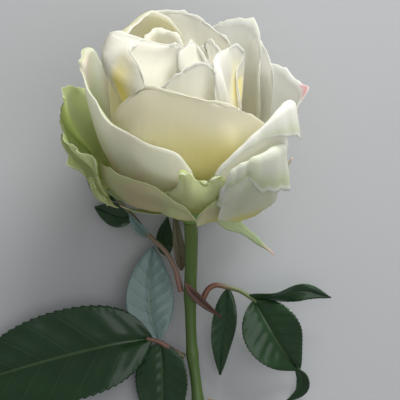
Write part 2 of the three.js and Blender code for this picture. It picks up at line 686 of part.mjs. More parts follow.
// azimuth, half width, how far it is turned about its length, and its middle line as [radius, height]
const SEPALS = [
  { azimuth: 74, halfWidth: 4.6, turned: 65, line: [[5, -6.5], [12, -10.5], [21, -17], [33, -25.5]] },
  { azimuth: 112, halfWidth: 3.6, turned: 0, line: [[5, -6.5], [22, -10], [36, -5], [42, 3]] },
  { azimuth: 178, halfWidth: 3.6, turned: 0, line: [[5, -6.5], [12, -12], [15, -20], [14, -28]] },
  { azimuth: -108, halfWidth: 3.8, turned: 0, line: [[5, -6.5], [20, -10], [32, -9], [42, -2]] },
  { azimuth: -60, halfWidth: 3.6, turned: 0, line: [[5, -6.5], [13, -8], [22, -6.3], [30, -2]] },
];

function sepal({ azimuth, halfWidth, turned, line }) {
  const middle = grid(SEPAL_ROWS + 1, 3, (j, i) => {
    const t = j / SEPAL_ROWS;
    const side = i - 1;
    const [radius, z] = through(line, t);
    const neck = (1 - SEPAL_NECK * smooth(0.4, 0.7, t)) * (1 - smooth(0.8, 1, t));
    const width = Math.max(halfWidth * neck * (0.8 + 0.4 * Math.sin(Math.PI * t)), 0.5);
    const centre = polar(radians(azimuth), radius, z + 0.12 * width * side * side);
    const turn = radians(turned) * smooth(0, SEPAL_TURN_END, t);
    const across = polar(radians(azimuth + 90), Math.cos(turn), Math.sin(turn));
    return toTable(centre.addScaledVector(across, width * side));
  });
  return sheet(middle, SEPAL_THICKNESS);
}

function calyx() {
  const profile = HIP_PROFILE.map(([radius, z]) => new THREE.Vector2(radius, z)).reverse();
  const hip = new THREE.LatheGeometry(profile, HIP_SIDES);
  const spin = new THREE.Quaternion().setFromUnitVectors(new THREE.Vector3(0, 1, 0), AXIS);
  hip.applyQuaternion(spin).translate(...BLOOM_BASE.toArray());
  return geometryFrom(joined([solid(hip), ...SEPALS.map(sepal)]));
}

// Leaflets: a toothed blade either side of a midrib
const TOOTH = 0.09; // how far a tooth stands out, as a share of the half width
const LEAFLET_COLUMNS = 4;

function leafWidth(t) {
  return Math.sin(Math.PI * t ** 0.8) ** 0.8;
}

function leaflet({ midrib, halfWidth, fold = 12, roll = [0, 0], teeth = 7, wave = 0.6 }) {
  const rows = 2 * teeth;
  const up = new THREE.Vector3(0, 0, 1);
  return sheet(grid(rows + 1, LEAFLET_COLUMNS + 1, (j, i) => {
    const t = j / rows;
    const s = (2 * i) / LEAFLET_COLUMNS - 1;
    const centre = new THREE.Vector3(...through(midrib, t));
    const ahead = new THREE.Vector3(...through(midrib, Math.min(t + 0.02, 1)));
    const behind = new THREE.Vector3(...through(midrib, Math.max(t - 0.02, 0)));
    const along = ahead.sub(behind).normalize();
    const side = along.clone().cross(up).normalize().applyAxisAngle(along, radians(lerp(...roll, t)));
    const normal = side.clone().cross(along);
    const tooth = Math.abs(s) < 1 ? 1 : 1 + (j % 2 ? TOOTH : -TOOTH);
    const width = Math.max(halfWidth * leafWidth(t) * tooth, 0.6);
    const ripple = wave * s ** 2 * Math.sin(9 * t + 2 * s);
    const lift = width * Math.abs(s) * Math.sin(radians(fold)) + ripple;
    return centre.addScaledVector(side, width * s * Math.cos(radians(fold))).addScaledVector(normal, lift);
  }), LEAF_THICKNESS);
}

const STALK_SIDES = 6;

function leaf({ stalk, stalkRadius, leaflets }) {
  const radiusAt = (_, t) => stalkRadius * (1.25 - 0.5 * t);
  const stalkTube = tube(stalk, 2 * (stalk.length - 1), STALK_SIDES, radiusAt);
  return geometryFrom(joined([stalkTube, ...leaflets.map(leaflet)]));
}

const LEAVES = {
  // the big one that lies out to the left
  leaf_lower_left: {
    stalk: [[-2.3, -66.9, 8.4], [-7, -64.2, 8.2], [-12, -61, 8.8], [-17, -59.6, 9.2]],
    stalkRadius: 1,
    leaflets: [
      { midrib: [[-14.8, -59.6, 9.1], [-31, -62.2, 10], [-54, -68, 6], [-74, -74, 2.2], [-83, -77, 0.4]],
        halfWidth: 18, teeth: 10, wave: 1, roll: [4, 0] },
      { midrib: [[-12.6, -60.4, 8.8], [-15.4, -48.5, 9], [-15.6, -36, 8], [-14.4, -24, 6]],
        halfWidth: 9.3, fold: 8, roll: [0, 8] },
      { midrib: [[-11.5, -61.2, 8.6], [-11, -72, 6.8], [-11, -85, 4.2], [-12, -98, 1]],
        halfWidth: 10.5, fold: 6, roll: [12, 14] },
    ],
  },
  // the one that runs up behind the bloom
  leaf_upper_left: {
    stalk: [[-3.6, -41.4, 13.4], [-4.8, -36.5, 14], [-6.2, -32, 13.6], [-9.9, -25.7, 12.6],
      [-16.5, -19.4, 11.6], [-22.5, -12, 10.8], [-29, -5.5, 10]],
    stalkRadius: 0.95,
    leaflets: [
      { midrib: [[-15.8, -20.2, 11], [-20, -16.6, 13], [-23.4, -11.6, 14]],
        halfWidth: 2.6, fold: 35, teeth: 4, wave: 0.2, roll: [-10, -20] },
      { midrib: [[-22, -12.4, 10.5], [-27, -12.6, 9.5], [-32, -11, 8], [-37, -9, 6]],
        halfWidth: 4.6, teeth: 5, wave: 0.3 },
      { midrib: [[-27, -7.2, 10.2], [-32, -2, 9.6], [-36, 3.5, 8.6], [-39, 9.5, 7.4]],
        halfWidth: 5.5, teeth: 6, wave: 0.4 },
      { midrib: [[-8.6, -28, 12.8], [-9.8, -23.6, 9.4], [-9.8, -18.5, 7.6], [-8.8, -13, 6.8]],
        halfWidth: 3.4, teeth: 4, wave: 0.3 },
    ],
  },
  leaf_right: {
    stalk: [[4, -46.3, 12.6], [5.2, -43.5, 13], [7, -40.4, 13.2], [10, -39, 13.2], [14, -39.8, 12.8],
      [19.4, -41.4, 12.2], [25.5, -45.6, 11.6]],
    stalkRadius: 1,
    leaflets: [
      { midrib: [[14.4, -40.2, 12.2], [13.4, -51, 9.4], [12, -62, 6.4], [11.5, -74, 3.6]],
        halfWidth: 4.8, teeth: 6, wave: 0.4 },
      { midrib: [[24.5, -44.8, 11.8], [29.8, -54.5, 12.2], [35.5, -64, 9], [42, -72.5, 4.6]],
        halfWidth: 11.4, fold: 14, wave: 0.9 },
      { midrib: [[41, -71.2, 5.2], [43.6, -75.6, 4.2], [42.8, -80.4, 2.2], [37.6, -84.5, 0.3]],
        halfWidth: 2.7, teeth: 3, wave: 0.3, roll: [40, -20] },
      { midrib: [[22.5, -43.4, 12], [33, -43, 13], [43.5, -41.2, 14], [54, -43.8, 12.4]],
        halfWidth: 4.2, teeth: 5, wave: 0.9, roll: [75, 10] },
    ],
  },
};

// The two narrow bracts where the upper leaves leave the stem, and the bud lower down
const BRACTS = {
  bract_red: { midrib: [[-1.9, -38.2, 17.8], [1, -42, 17.1], [6, -46.8, 15.8], [12, -51.4, 13]],
    halfWidth: 1.8, fold: 20, teeth: 4, wave: 0.1 },
  bract_brown: { midrib: [[-3.4, -33.4, 11], [-3.8, -28, 11.4], [-5, -20, 12.2], [-6.2, -8, 12.6]],
    halfWidth: 2.4, fold: 15, teeth: 4, wave: 0.3 },
};
const BUD_LINE = [[5.9, -85.2, 7], [8, -84.6, 7.4], [10.4, -84.8, 7]];

function sideBud() {
  return tube(BUD_LINE, 5, 8, (_, t) => 1.5 * Math.sin(Math.PI * (0.18 + 0.78 * t)));
}

const petalPaint = new THREE.MeshStandardMaterial({ color: 0xf1efdc, roughness: 0.55, metalness: 0 });
const stemPaint = new THREE.MeshStandardMaterial({ color: 0x5d8a34, roughness: 0.5, metalness: 0 });
const sepalPaint = new THREE.MeshStandardMaterial({ color: 0x9db37c, roughness: 0.6, metalness: 0 });
const leafPaint = new THREE.MeshStandardMaterial({ color: 0x21452b, roughness: 0.35, metalness: 0 });
const bractPaint = new THREE.MeshStandardMaterial({ color: 0x8a3d2c, roughness: 0.5, metalness: 0 });

function named(name, geometry, material) {
  const mesh = new THREE.Mesh(geometry, material);
  mesh.name = name;
  return mesh;
}

const rose = new THREE.Group();
rose.add(...petalMeshes());
rose.add(named('stem', stem(), stemPaint), named('calyx', calyx(), sepalPaint));
for (const [name, parts] of Object.entries(LEAVES)) {
  rose.add(named(name, leaf(parts), leafPaint));
}
for (const [name, blade] of Object.entries(BRACTS)) {
  rose.add(named(name, geometryFrom(leaflet(blade)), bractPaint));
}
rose.add(named('side_bud', geometryFrom(sideBud()), bractPaint));

// The origin is the middle of the space that the rose takes up on the table
const middle = new THREE.Box3().setFromObject(rose).getCenter(new THREE.Vector3());
rose.position.set(-middle.x, -middle.y, 0);

export default rose;
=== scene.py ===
"""A cut white rose laid on a pale floor, seen from straight above.

Sizes are in millimetres until a piece is made, and angles in degrees. The petals, the stem, the calyx
and the leaves are drawn from the same named values as the part's solids, with finer meshes.
"""
import math

import bpy
import numpy as np
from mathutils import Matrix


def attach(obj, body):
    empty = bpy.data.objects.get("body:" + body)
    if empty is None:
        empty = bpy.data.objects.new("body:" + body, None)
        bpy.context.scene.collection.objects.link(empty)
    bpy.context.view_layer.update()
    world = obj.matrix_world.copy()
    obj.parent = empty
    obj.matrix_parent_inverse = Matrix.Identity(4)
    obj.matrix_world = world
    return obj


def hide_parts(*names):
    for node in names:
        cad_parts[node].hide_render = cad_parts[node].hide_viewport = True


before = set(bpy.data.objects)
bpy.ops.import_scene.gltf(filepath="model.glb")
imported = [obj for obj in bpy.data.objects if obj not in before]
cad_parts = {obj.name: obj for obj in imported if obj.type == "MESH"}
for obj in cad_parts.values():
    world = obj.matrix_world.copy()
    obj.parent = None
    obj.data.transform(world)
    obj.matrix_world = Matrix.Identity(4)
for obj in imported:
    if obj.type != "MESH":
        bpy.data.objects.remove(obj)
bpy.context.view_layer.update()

MILLIMETRE = 0.001

# Driving dimensions
BLOOM_LEAN = math.radians(27)  # the bloom's axis rises this much from the table
ROSE_MIDDLE = np.array([14.4974, 81.3148, 0])  # from the bloom's base to the frame's origin
BLOOM_BASE = np.array([0, 0, 31.4])
PETAL_CLEARANCE = 1.35  # between the middles of two neighbouring petals
PETAL_THICKNESS = 0.5
LEAF_THICKNESS = 0.6
RIM_SHARE = 0.3  # thickness at the rim, as a share of the rest
CUT_END_Y = -226
STEM_RADIUS = 2.6

# Grid of a petal, as the solids have it, and how much finer the mesh is
BLADE_ROWS = 24
LIP_ROWS = 8
COLUMNS = 32
FINER = 2

TINY = 1e-9  # keeps a length that is divided by above nothing
UP = np.array([0, 0, 1.0])
SIDEWAYS = np.array([1.0, 0, 0])
TOWARDS_VIEWER = np.array([0, -math.sin(BLOOM_LEAN), math.cos(BLOOM_LEAN)])
BLOOM_AXIS = np.array([0, math.cos(BLOOM_LEAN), math.sin(BLOOM_LEAN)])


# Small helpers
def smooth(start, end, x):
    t = np.clip((x - start) / (end - start), 0, 1)
    return t * t * (3 - 2 * t)


def unit(vectors):
    return vectors / np.maximum(np.linalg.norm(vectors, axis=-1, keepdims=True), TINY)


def through(points, t):
    """Places on a smooth line through points; t runs from 0 at the first to 1 at the last."""
    points = np.array(points, float)
    last = len(points) - 1
    points = np.concatenate([[2 * points[0] - points[1]], points, [2 * points[-1] - points[-2]]])
    place = np.minimum(np.asarray(t, float) * last, last - TINY)
    i = np.floor(place).astype(int)
    s = (place - i).reshape(i.shape + (1,) * (points.ndim - 1))
    a, b, c, d = points[i], points[i + 1], points[i + 2], points[i + 3]
    return 0.5 * (
        2 * b + (c - a) * s + (2 * a - 5 * b + 4 * c - d) * s**2 + (3 * b - a - 3 * c + d) * s**3
    )


def direction(line, t, step):
    """Which way a line runs at t, from the places a step before it and after it."""
    return unit(through(line, np.minimum(t + step, 1)) - through(line, np.maximum(t - step, 0)))


def finer(surface, steps):
    """The same surface with more rows and columns, on smooth lines through the old ones."""
    rows, columns = surface.shape[:2]
    tall = through(surface, np.linspace(0, 1, (rows - 1) * steps + 1))
    wide = through(tall.swapaxes(0, 1), np.linspace(0, 1, (columns - 1) * steps + 1))
    return wide.swapaxes(0, 1)


def facing(surface):
    """Direction that each point of a surface faces: across it, then up it, by the right hand."""
    return unit(np.cross(np.gradient(surface, axis=1), np.gradient(surface, axis=0)))


def to_table(surface):
    """From bloom space (x right, y to the viewer, z up the bloom's axis) to the table's."""
    x, y, z = surface[..., 0:1], surface[..., 1:2], surface[..., 2:3]
    return BLOOM_BASE + x * SIDEWAYS + y * TOWARDS_VIEWER + z * BLOOM_AXIS


def polar(azimuth, radius, z):
    """Places in bloom space; azimuth is 0 towards the viewer and grows to the right."""
    azimuth = np.radians(azimuth)
    return np.stack(np.broadcast_arrays(radius * np.sin(azimuth), radius * np.cos(azimuth), z), -1)


def add_object(name, data):
    made = bpy.data.objects.new(name, data)
    bpy.context.scene.collection.objects.link(made)
    return made


# Meshes
GRAIN_MAP = "Grain"  # across a piece and along it; 1 is added along it on the back face
FACE_SHARE = 0.98  # how much of each 1 along the map a face takes up
RIM_CELLS = 4  # cells of a sheet's grid over which it thins towards its rim
TUBE_STEP = 0.01  # share of a tube's length either side of a ring that gives the ring its direction


class Shape:
    """Points, faces and their places in the grain map, gathered into one mesh."""

    def __init__(self):
        self.points = []
        self.faces = []
        self.places = []
        self.finishes = []

    def add(self, points, faces, places, finish=0):
        first = len(self.points)
        self.points.extend(points.tolist())
        self.faces.extend([[first + int(k) for k in face] for face in faces])
        self.places.extend(places)
        self.finishes.extend([finish] * len(faces))

    def add_sheet(self, surface, thickness, finish=0):
        """A thin closed sheet round a middle surface. Nothing of it goes below the table."""
        rows, columns = surface.shape[:2]
        normals = facing(surface)
        across, along = np.meshgrid(np.linspace(0, 1, columns), np.linspace(0, 1, rows))
        edge = np.minimum(np.minimum(across, 1 - across) * columns, (1 - along) * rows)
        depth = (thickness * (RIM_SHARE + (1 - RIM_SHARE) * smooth(0, RIM_CELLS, edge)))[..., None]
        faces = []
        for side in (1, -1):
            face = surface + normals * depth * side / 2
            lowest = np.where(normals[..., 2] * side > 0, depth[..., 0], 0)
            face[..., 2] = np.maximum(face[..., 2], lowest)
            faces.append(face.reshape(-1, 3))
        count = rows * columns
        index = np.arange(count).reshape(rows, columns)
        front = np.stack([index[:-1, :-1], index[:-1, 1:], index[1:, 1:], index[1:, :-1]], -1).reshape(-1, 4)
        border = np.concatenate([index[0, :-1], index[:-1, -1], index[-1, :0:-1], index[:0:-1, 0]])
        after = np.roll(border, -1)
        rim = np.stack([border, border + count, after + count, after], -1)
        quads = np.concatenate([front, front[:, ::-1] + count, rim])
        place = np.stack([across, along * FACE_SHARE], -1).reshape(-1, 2)
        back_place = place + [0, 1]
        corners = np.concatenate([place[front], back_place[front[:, ::-1]], place[rim % count]])
        self.add(np.concatenate(faces), quads, corners.reshape(-1, 2).tolist(), finish)

    def add_tube(self, line, rings, sides, radius_at, end_slant=0, finish=0):
        """A closed tube; radius_at takes the centres and t of the rings."""
        t = np.linspace(0, 1, rings + 1)
        centres = through(line, t)
        along = direction(line, t, TUBE_STEP)
        side = unit(np.cross(along, UP))
        top = np.cross(side, along)
        turn = (np.arange(sides) / sides * 2 * math.pi)[None, :, None]
        radius = np.asarray(radius_at(centres, t))[:, None, None]
        ring = centres[:, None] + radius * (side[:, None] * np.cos(turn) + top[:, None] * np.sin(turn))
        ring[-1] += along[-1] * end_slant * np.cos(turn[0])
        points = np.concatenate([ring.reshape(-1, 3), centres[[0, -1]]])
        points[:, 2] = np.maximum(points[:, 2], 0)
        faces, places = [], []
        first, last = len(points) - 2, len(points) - 1
        for i in range(sides):
            next_side = (i + 1) % sides
            u, v = i / sides, (i + 1) / sides
            for j in range(rings):
                low, high = j * sides, (j + 1) * sides
                faces.append([low + i, high + i, high + next_side, low + next_side])
                places += [(u, t[j]), (u, t[j + 1]), (v, t[j + 1]), (v, t[j])]
            faces.append([first, i, next_side])
            faces.append([last, rings * sides + next_side, rings * sides + i])
            places += [(u, 0), (u, 0), (v, 0), (u, 1), (v, 1), (u, 1)]
        self.add(points, faces, places, finish)

    def piece(self, name, finishes, slot, *nodes):
        """Makes the mesh, which stands for the CAD nodes and rides with the rose."""
        mesh = bpy.data.meshes.new(name)
        mesh.from_pydata(((np.array(self.points) + ROSE_MIDDLE) * MILLIMETRE).tolist(), [], self.faces)
        grain = mesh.uv_layers.new(name=GRAIN_MAP)
        grain.uv.foreach_set("vector", np.array(self.places, np.float32).ravel())
        mesh.polygons.foreach_set("use_smooth", [True] * len(self.faces))
        mesh.polygons.foreach_set("material_index", self.finishes)
        for finish in finishes:
            mesh.materials.append(finish)
        mesh.update()
        made = add_object(name, mesh)
        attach(made, "root")
        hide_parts(*nodes)


# Petals
ROUND_RIM_PLACES = (-1, -0.86, -0.5, 0, 0.5, 0.86, 1)  # from its left side to its right
ROUND_RIM_LEAN = 0.05  # how much nearer the axis its two sides are, as a share of their drop


def round_rim(azimuth, half, radius, height, drop, tip=0):
    """Rim of a plain rounded petal, its two sides lower by drop and its middle higher by tip."""
    return [
        [azimuth + half * s, radius - ROUND_RIM_LEAN * drop * s**4,
         height - drop * abs(s) ** 5 + tip * (1 - min(1, 2 * abs(s)))]
        for s in ROUND_RIM_PLACES
    ]


PLAIN_PETAL = dict(
    base_height=0,
    roundness=2,
    wrap=0,  # how much one side lies outside the other
    close=0.45,  # share of its height where the blade starts to leave the belly for its rim
    fan=None,  # azimuths of the two sides, where they differ from the rim's
    lip=2.5,
    roll=35,  # how far the lip turns outwards
    crease=1,  # share of the lip that turns; the rest is straight
    fold=0,  # extra width of the lip
    fold_at=0,
    fold_spread=9,
    ruffle=0,
    looser=0,  # extra distance from the petals inside it
    points=(),  # points and notches: share of the way from its left side to its right, height, half width
    crumple=1,  # how much stronger the small waves of its rim are
    finish="pale",
)


def a_petal(azimuth, claw, belly, belly_height, rim, **more):
    """Values of one petal: claw and belly are radii, and a rim is a list of azimuth, radius and height."""
    given = dict(azimuth=azimuth, claw=claw, belly=belly, belly_height=belly_height, rim=rim)
    return {**PLAIN_PETAL, **given, **more}


# Petals in the order they lie, from the bud outwards
PETALS = {
    "petal_bud_1": a_petal(
        180, 1.5, 3.5, 26, round_rim(180, 80, 2.5, 46, 10), lip=1.2, roll=10, finish="bud"),
    "petal_bud_2": a_petal(40, 2, 5, 26, round_rim(40, 75, 4, 47, 12), lip=1.4, roll=20, finish="bud"),
    "petal_bud_3": a_petal(-75, 2, 7, 26, round_rim(-75, 75, 5.5, 48, 12), lip=1.6, roll=25, finish="bud"),
    "petal_bud_4": a_petal(165, 2.5, 9, 26, round_rim(165, 70, 7.5, 50, 14), lip=2, roll=30, finish="bud"),
    "petal_bud_5": a_petal(60, 3, 10.5, 26, round_rim(60, 65, 8.5, 47, 14), lip=2, roll=20, finish="bud"),
    "petal_bud_6": a_petal(
        -135, 3, 16, 32,
        [[-98, 16, 46], [-105, 16.5, 51], [-113, 17, 54], [-123, 17.5, 55], [-134, 17.5, 55.5],
         [-144, 15, 55.5], [-153, 12, 54.5], [-162, 10, 51], [-168, 10, 45]],
        lip=2.5, roll=70, finish="bud"),
    # the left one, closed over the bud
    "petal_inner_1": a_petal(
        -105, 4, 30.3, 34,
        [[-176, 26.5, 38], [-172, 27, 48], [-162, 27.5, 54.5], [-147, 28.8, 57], [-130, 29.8, 53.5],
         [-110, 30.4, 50.5], [-92, 30, 49], [-74, 27, 47.5], [-58, 22.5, 45], [-43, 19.5, 39]],
        close=0.6, wrap=-3, fan=[-178, -40], lip=3, fold=8.5, fold_at=0.05, fold_spread=6, roll=-80,
        points=[(0.40, 1.8, 0.035)], finish="left"),
    # the front of the heart
    "petal_inner_2": a_petal(
        -25, 3.5, 24, 30,
        [[-41, 23.5, 42], [-42, 24.5, 49], [-53, 23.2, 53.5], [-74, 22.5, 56.5], [-86, 18.4, 57.5],
         [-94, 14.7, 58], [-104, 11, 58.5], [-73, 7.7, 57.5], [-65, 5, 57], [-19, 6.5, 56], [-14, 10.6, 53],
         [-5, 11, 47]],
        close=0.5, fan=[-62, 20], lip=1.2, roll=-5, looser=0.9, finish="heart left"),
    "petal_inner_3": a_petal(
        20, 3.5, 14, 28,
        [[-25, 12, 46], [-22, 10.5, 50], [-23, 4.7, 54], [-10, 1, 58], [58, 3.9, 55.5], [46, 9, 53],
         [45, 12, 50], [50, 13, 45]],
        close=0.5, fan=[-30, 58], lip=1, roll=20, points=[(0.45, 1.5, 0.06)], finish="heart"),
    "petal_inner_4": a_petal(
        90, 3.5, 15, 28,
        [[135, 8, 50], [132, 7.5, 55], [95, 8, 57], [72, 11, 55.5], [66, 13.5, 51], [64, 14, 45]],
        lip=1.5, roll=30, finish="fold"),
    "petal_inner_5": a_petal(
        140, 3.5, 16, 28, round_rim(140, 50, 14, 48.5, 14), lip=2, roll=30, finish="fold"),
    # the bright lip folded over the front
    "petal_inner_6": a_petal(
        -5, 4, 23.5, 28,
        [[-41, 23.5, 42], [-27, 22, 48], [-19, 19.8, 51.5], [-10, 18, 53.5], [4, 15.8, 55], [22, 15, 55],
         [31, 17, 52], [33, 20, 47], [34, 22, 40]],
        fan=[-48, 42], lip=1.2, roll=20, finish="heart"),
    # the arch behind the heart
    "petal_inner_7": a_petal(
        180, 4.5, 27.5, 30,
        [[136, 26, 36], [141, 26.5, 42.5], [147, 27, 47], [154, 27, 49.7], [162, 27.2, 51.8],
         [170, 27.4, 54.2], [178, 27.6, 56.2], [186, 27.8, 57.2], [198, 28, 57.3], [210, 28, 56.5],
         [217, 28, 51], [222, 28, 41]],
        lip=1.2, roll=20, looser=0.6, points=[(0.3, -0.8, 0.03), (0.62, 0.8, 0.04)], finish="fold"),
    # the smooth one that leans in from the right
    "petal_inner_8": a_petal(
        52, 4.5, 21, 26,
        [[30, 25, 32], [25, 23.5, 41], [27, 17.5, 50], [30, 14.8, 53.5], [46, 13.2, 56], [75, 14, 56.5],
         [89, 17, 56], [94, 20, 53], [89, 18.8, 49.5], [79, 17.5, 45.5], [71, 19, 41], [66, 21, 34]],
        close=0.5, wrap=-4, fan=[22, 84], lip=1.2, roll=15, looser=0.6, finish="hollow"),
    "petal_middle_1": a_petal(
        142, 5, 29.5, 26,
        [[172, 30, 34], [168, 30, 44], [164.5, 31, 50], [157, 31.5, 51.5], [148, 32.5, 53], [138, 34, 52.5],
         [128, 32.5, 48.5], [123, 31, 43], [120, 29.5, 36], [116, 29.5, 27]],
        lip=1.5, fold=1, roll=50, points=[(0.55, 2.6, 0.035), (0.3, 0.8, 0.03)]),
    # the big cup at the front
    "petal_middle_2": a_petal(
        0, 5, 29, 26,
        [[-78, 29.5, 22], [-70, 29.5, 31], [-52, 29, 41.5], [-36, 28.5, 49.5], [-16, 27.5, 49.5],
         [8, 27, 47], [33, 27.5, 42], [52, 29, 36], [72, 30, 27], [78, 30, 18]],
        lip=1.2, roll=-5, looser=1,
        points=[(0.30, -1.6, 0.02), (0.345, 0.9, 0.015), (0.52, -0.6, 0.02), (0.72, -0.7, 0.03)],
        finish="cup"),
    "petal_middle_3": a_petal(142, 5.5, 32, 25, round_rim(140, 28, 34, 46.5, 12, 2), lip=1.5, roll=20),
    "petal_middle_4": a_petal(
        102, 5.5, 31, 22,
        [[150, 32, 28], [138, 33.5, 35], [127, 34.5, 38.5], [114, 36, 38.5], [104, 38, 37.5], [94, 41, 35.5],
         [86, 37.5, 28], [75, 34, 18]],
        lip=1.5, fold=2, roll=50, points=[(0.72, 2.8, 0.05), (0.4, 0.9, 0.03)], finish="tipped"),
    # the left one, whose rim runs down to the front
    "petal_middle_5": a_petal(
        -72, 6, 33.5, 24,
        [[-140, 33, 36], [-122, 36, 36.5], [-109, 38, 48.5], [-90, 38.5, 48.5], [-86, 39, 44.5],
         [-69, 37, 39.5], [-49, 34.5, 33], [-26, 34, 30], [-11, 34, 28], [-2, 35, 23], [2, 34, 16]],
        lip=2.5, fold=1.5, fold_at=0.6, roll=70,
        points=[(0.24, 2.4, 0.035), (0.5, -0.8, 0.02), (0.62, 0.8, 0.02), (0.82, -1.2, 0.02)], crumple=1.6,
        finish="blushed"),
    "petal_middle_6": a_petal(
        -155, 6, 31, 28, round_rim(-158, 45, 31.5, 42, 16), lip=1.5, roll=20, looser=0.4),
    "petal_middle_7": a_petal(150, 6, 33, 28, round_rim(158, 42, 33, 41, 16), lip=1.5, roll=30, looser=0.2),
    # the right one, its lip turned far down
    "petal_middle_8": a_petal(
        54, 6.5, 33, 20,
        [[14, 35.5, 10], [16.5, 36.5, 21], [27, 36, 28], [40, 36, 33.3], [53, 36.5, 37], [65, 37, 39],
         [72, 37.5, 38.5], [76, 37.5, 34]],
        lip=3.5, fold=14, fold_at=0.65, fold_spread=3.5, roll=168, crease=0.3, looser=0.8,
        points=[(0.86, 2.6, 0.07), (0.4, -1.0, 0.03)]),
    # the crumpled one at the front
    "petal_outer_1": a_petal(
        12, 9.4, 33, 14,
        [[-18, 34, 8], [-8, 35.5, 15], [-2, 36, 20], [6, 36, 17], [19, 37, 17], [27, 38, 18.5], [33, 38, 16],
         [50, 36, 8]],
        base_height=-2, roundness=2.5, lip=2.5, fold=4, fold_at=-0.5, fold_spread=20, roll=100, ruffle=1,
        looser=0.6, points=[(0.30, 1.6, 0.04), (0.42, -1.6, 0.03), (0.62, 1.2, 0.03), (0.7, -1.2, 0.03)],
        crumple=3.2, finish="crumpled"),
    "petal_outer_2": a_petal(
        -48, 10, 33.5, 10,
        [[-98, 32, -2], [-90, 33, 5], [-78, 34, 10.5], [-65, 36, 14], [-54, 38, 15.5], [-42.5, 38.5, 15],
         [-27.5, 38, 13.5], [-18, 37.5, 10], [-8, 37, 6], [1, 36, 1.5], [6, 35, -3]],
        base_height=-4, roundness=2.4, lip=1.5, roll=10, points=[(0.35, -0.8, 0.02), (0.6, 0.8, 0.03)],
        finish="guard"),
    # the green ear at the left
    "petal_outer_3": a_petal(
        -98, 7, 36, 22,
        [[-130, 38, 28], [-121, 42, 25], [-105, 46, 32.5], [-81, 46.5, 36], [-86, 47.5, 27], [-77, 46, 22.5],
         [-66, 43, 20], [-62, 38, 12]],
        lip=2.5, roll=30, ruffle=1, looser=0.8,
        points=[(0.33, 2, 0.03), (0.46, -1.6, 0.03), (0.56, 1.2, 0.03), (0.68, -1.8, 0.025), (0.78, 1, 0.03)],
        crumple=3.2, finish="green"),
    "petal_outer_4": a_petal(
        30, 10, 36, 10,
        [[5, 35, -1], [14, 37, 6], [24, 38, 9], [32, 39, 12], [42, 40, 14], [62, 37, 4]],
        base_height=-4, roundness=2.4, lip=2, roll=30, finish="guard"),
    "petal_outer_5": a_petal(
        -86, 8.6, 34, 12,
        [[-116, 38, 8], [-100, 43, 15], [-85, 45.5, 19], [-77, 43, 16], [-70, 40, 12], [-65, 37, 6],
         [-62, 34, -1]],
        base_height=-4, roundness=2.4, lip=2.5, roll=30, ruffle=1,
        points=[(0.4, 1.2, 0.04), (0.55, -1.2, 0.03), (0.7, 0.9, 0.03)], crumple=3.2, finish="green"),
    "petal_outer_6": a_petal(
        52, 10, 34.5, 14,
        [[20, 36, 8], [21, 37.5, 17], [25, 38.5, 22.5], [32, 39, 25], [41, 38.5, 25.5], [52, 37.5, 25],
         [62, 36.5, 23.5], [70, 36, 19]],
        base_height=-4, roundness=2.4, lip=9, fold=14, fold_at=0.5, fold_spread=4, roll=168, crease=0.22,
        ruffle=0.6, points=[(0.45, -1.6, 0.03), (0.6, 1.6, 0.04), (0.75, -1.4, 0.03)], crumple=2.2,
        finish="white guard"),
    "petal_outer_7": a_petal(
        180, 8, 33, 18, round_rim(180, 45, 35, 33, 12), base_height=-4, lip=2.5, roll=50, finish="guard"),
}

WRAP_TOP = 0.4  # share of its height where one side lies fully outside the other
CLAW = 0.5  # share of a petal's spread where it grows from the hip
CLAW_END = 0.45  # share of its height where it reaches its full spread
ROW_SPACING = 1.6  # above 1, rows lie closer near the base
CLOSING = 1.2  # above 1, a blade leaves the belly more slowly
WIDE_WAVES = 3  # waves of a ruffle across a petal
WIDE_START = 0.5  # share of its height where they start
FINE_WAVES = 7.62
FINE_START = 0.7
FINE_SHARE = 0.4
UPRIGHT = 0.2  # a direction that leans less than this to the side counts as straight up or down
LIP_LOSS = 0.8  # share of its width that a lip loses at its two ends
LOW_FRONT_LOSS = 0.2  # share of its radius that the bloom's front loses at the base
LOW_FRONT_TOP = 32  # height where it has its full radius again
LOW_FRONT_SIDES = (0.3, 0.9)  # cosines of the azimuths where the loss starts and where it is full
RIM_WAVE = 0.36  # height of the small waves that every rim has
RIM_UNEVENNESS = 0.65  # how far the rim's outline wanders
RIM_WAVES = (2.1, 3.7, 6.3, 9.1)
WAVES_START = 0.55  # share of a petal's height where the small waves start
OUTLINE_START = 0.75
POINTS_START = 0.8


def belly_radius(petal, z):
    """Radius of a petal's belly at height z: a part of a rounded square from its claw."""
    t = np.clip((z - petal["base_height"]) / (petal["belly_height"] - petal["base_height"]), 0, 1)
    share = (1 - (1 - t) ** petal["roundness"]) ** (1 / petal["roundness"])
    return petal["claw"] + (petal["belly"] - petal["claw"]) * share


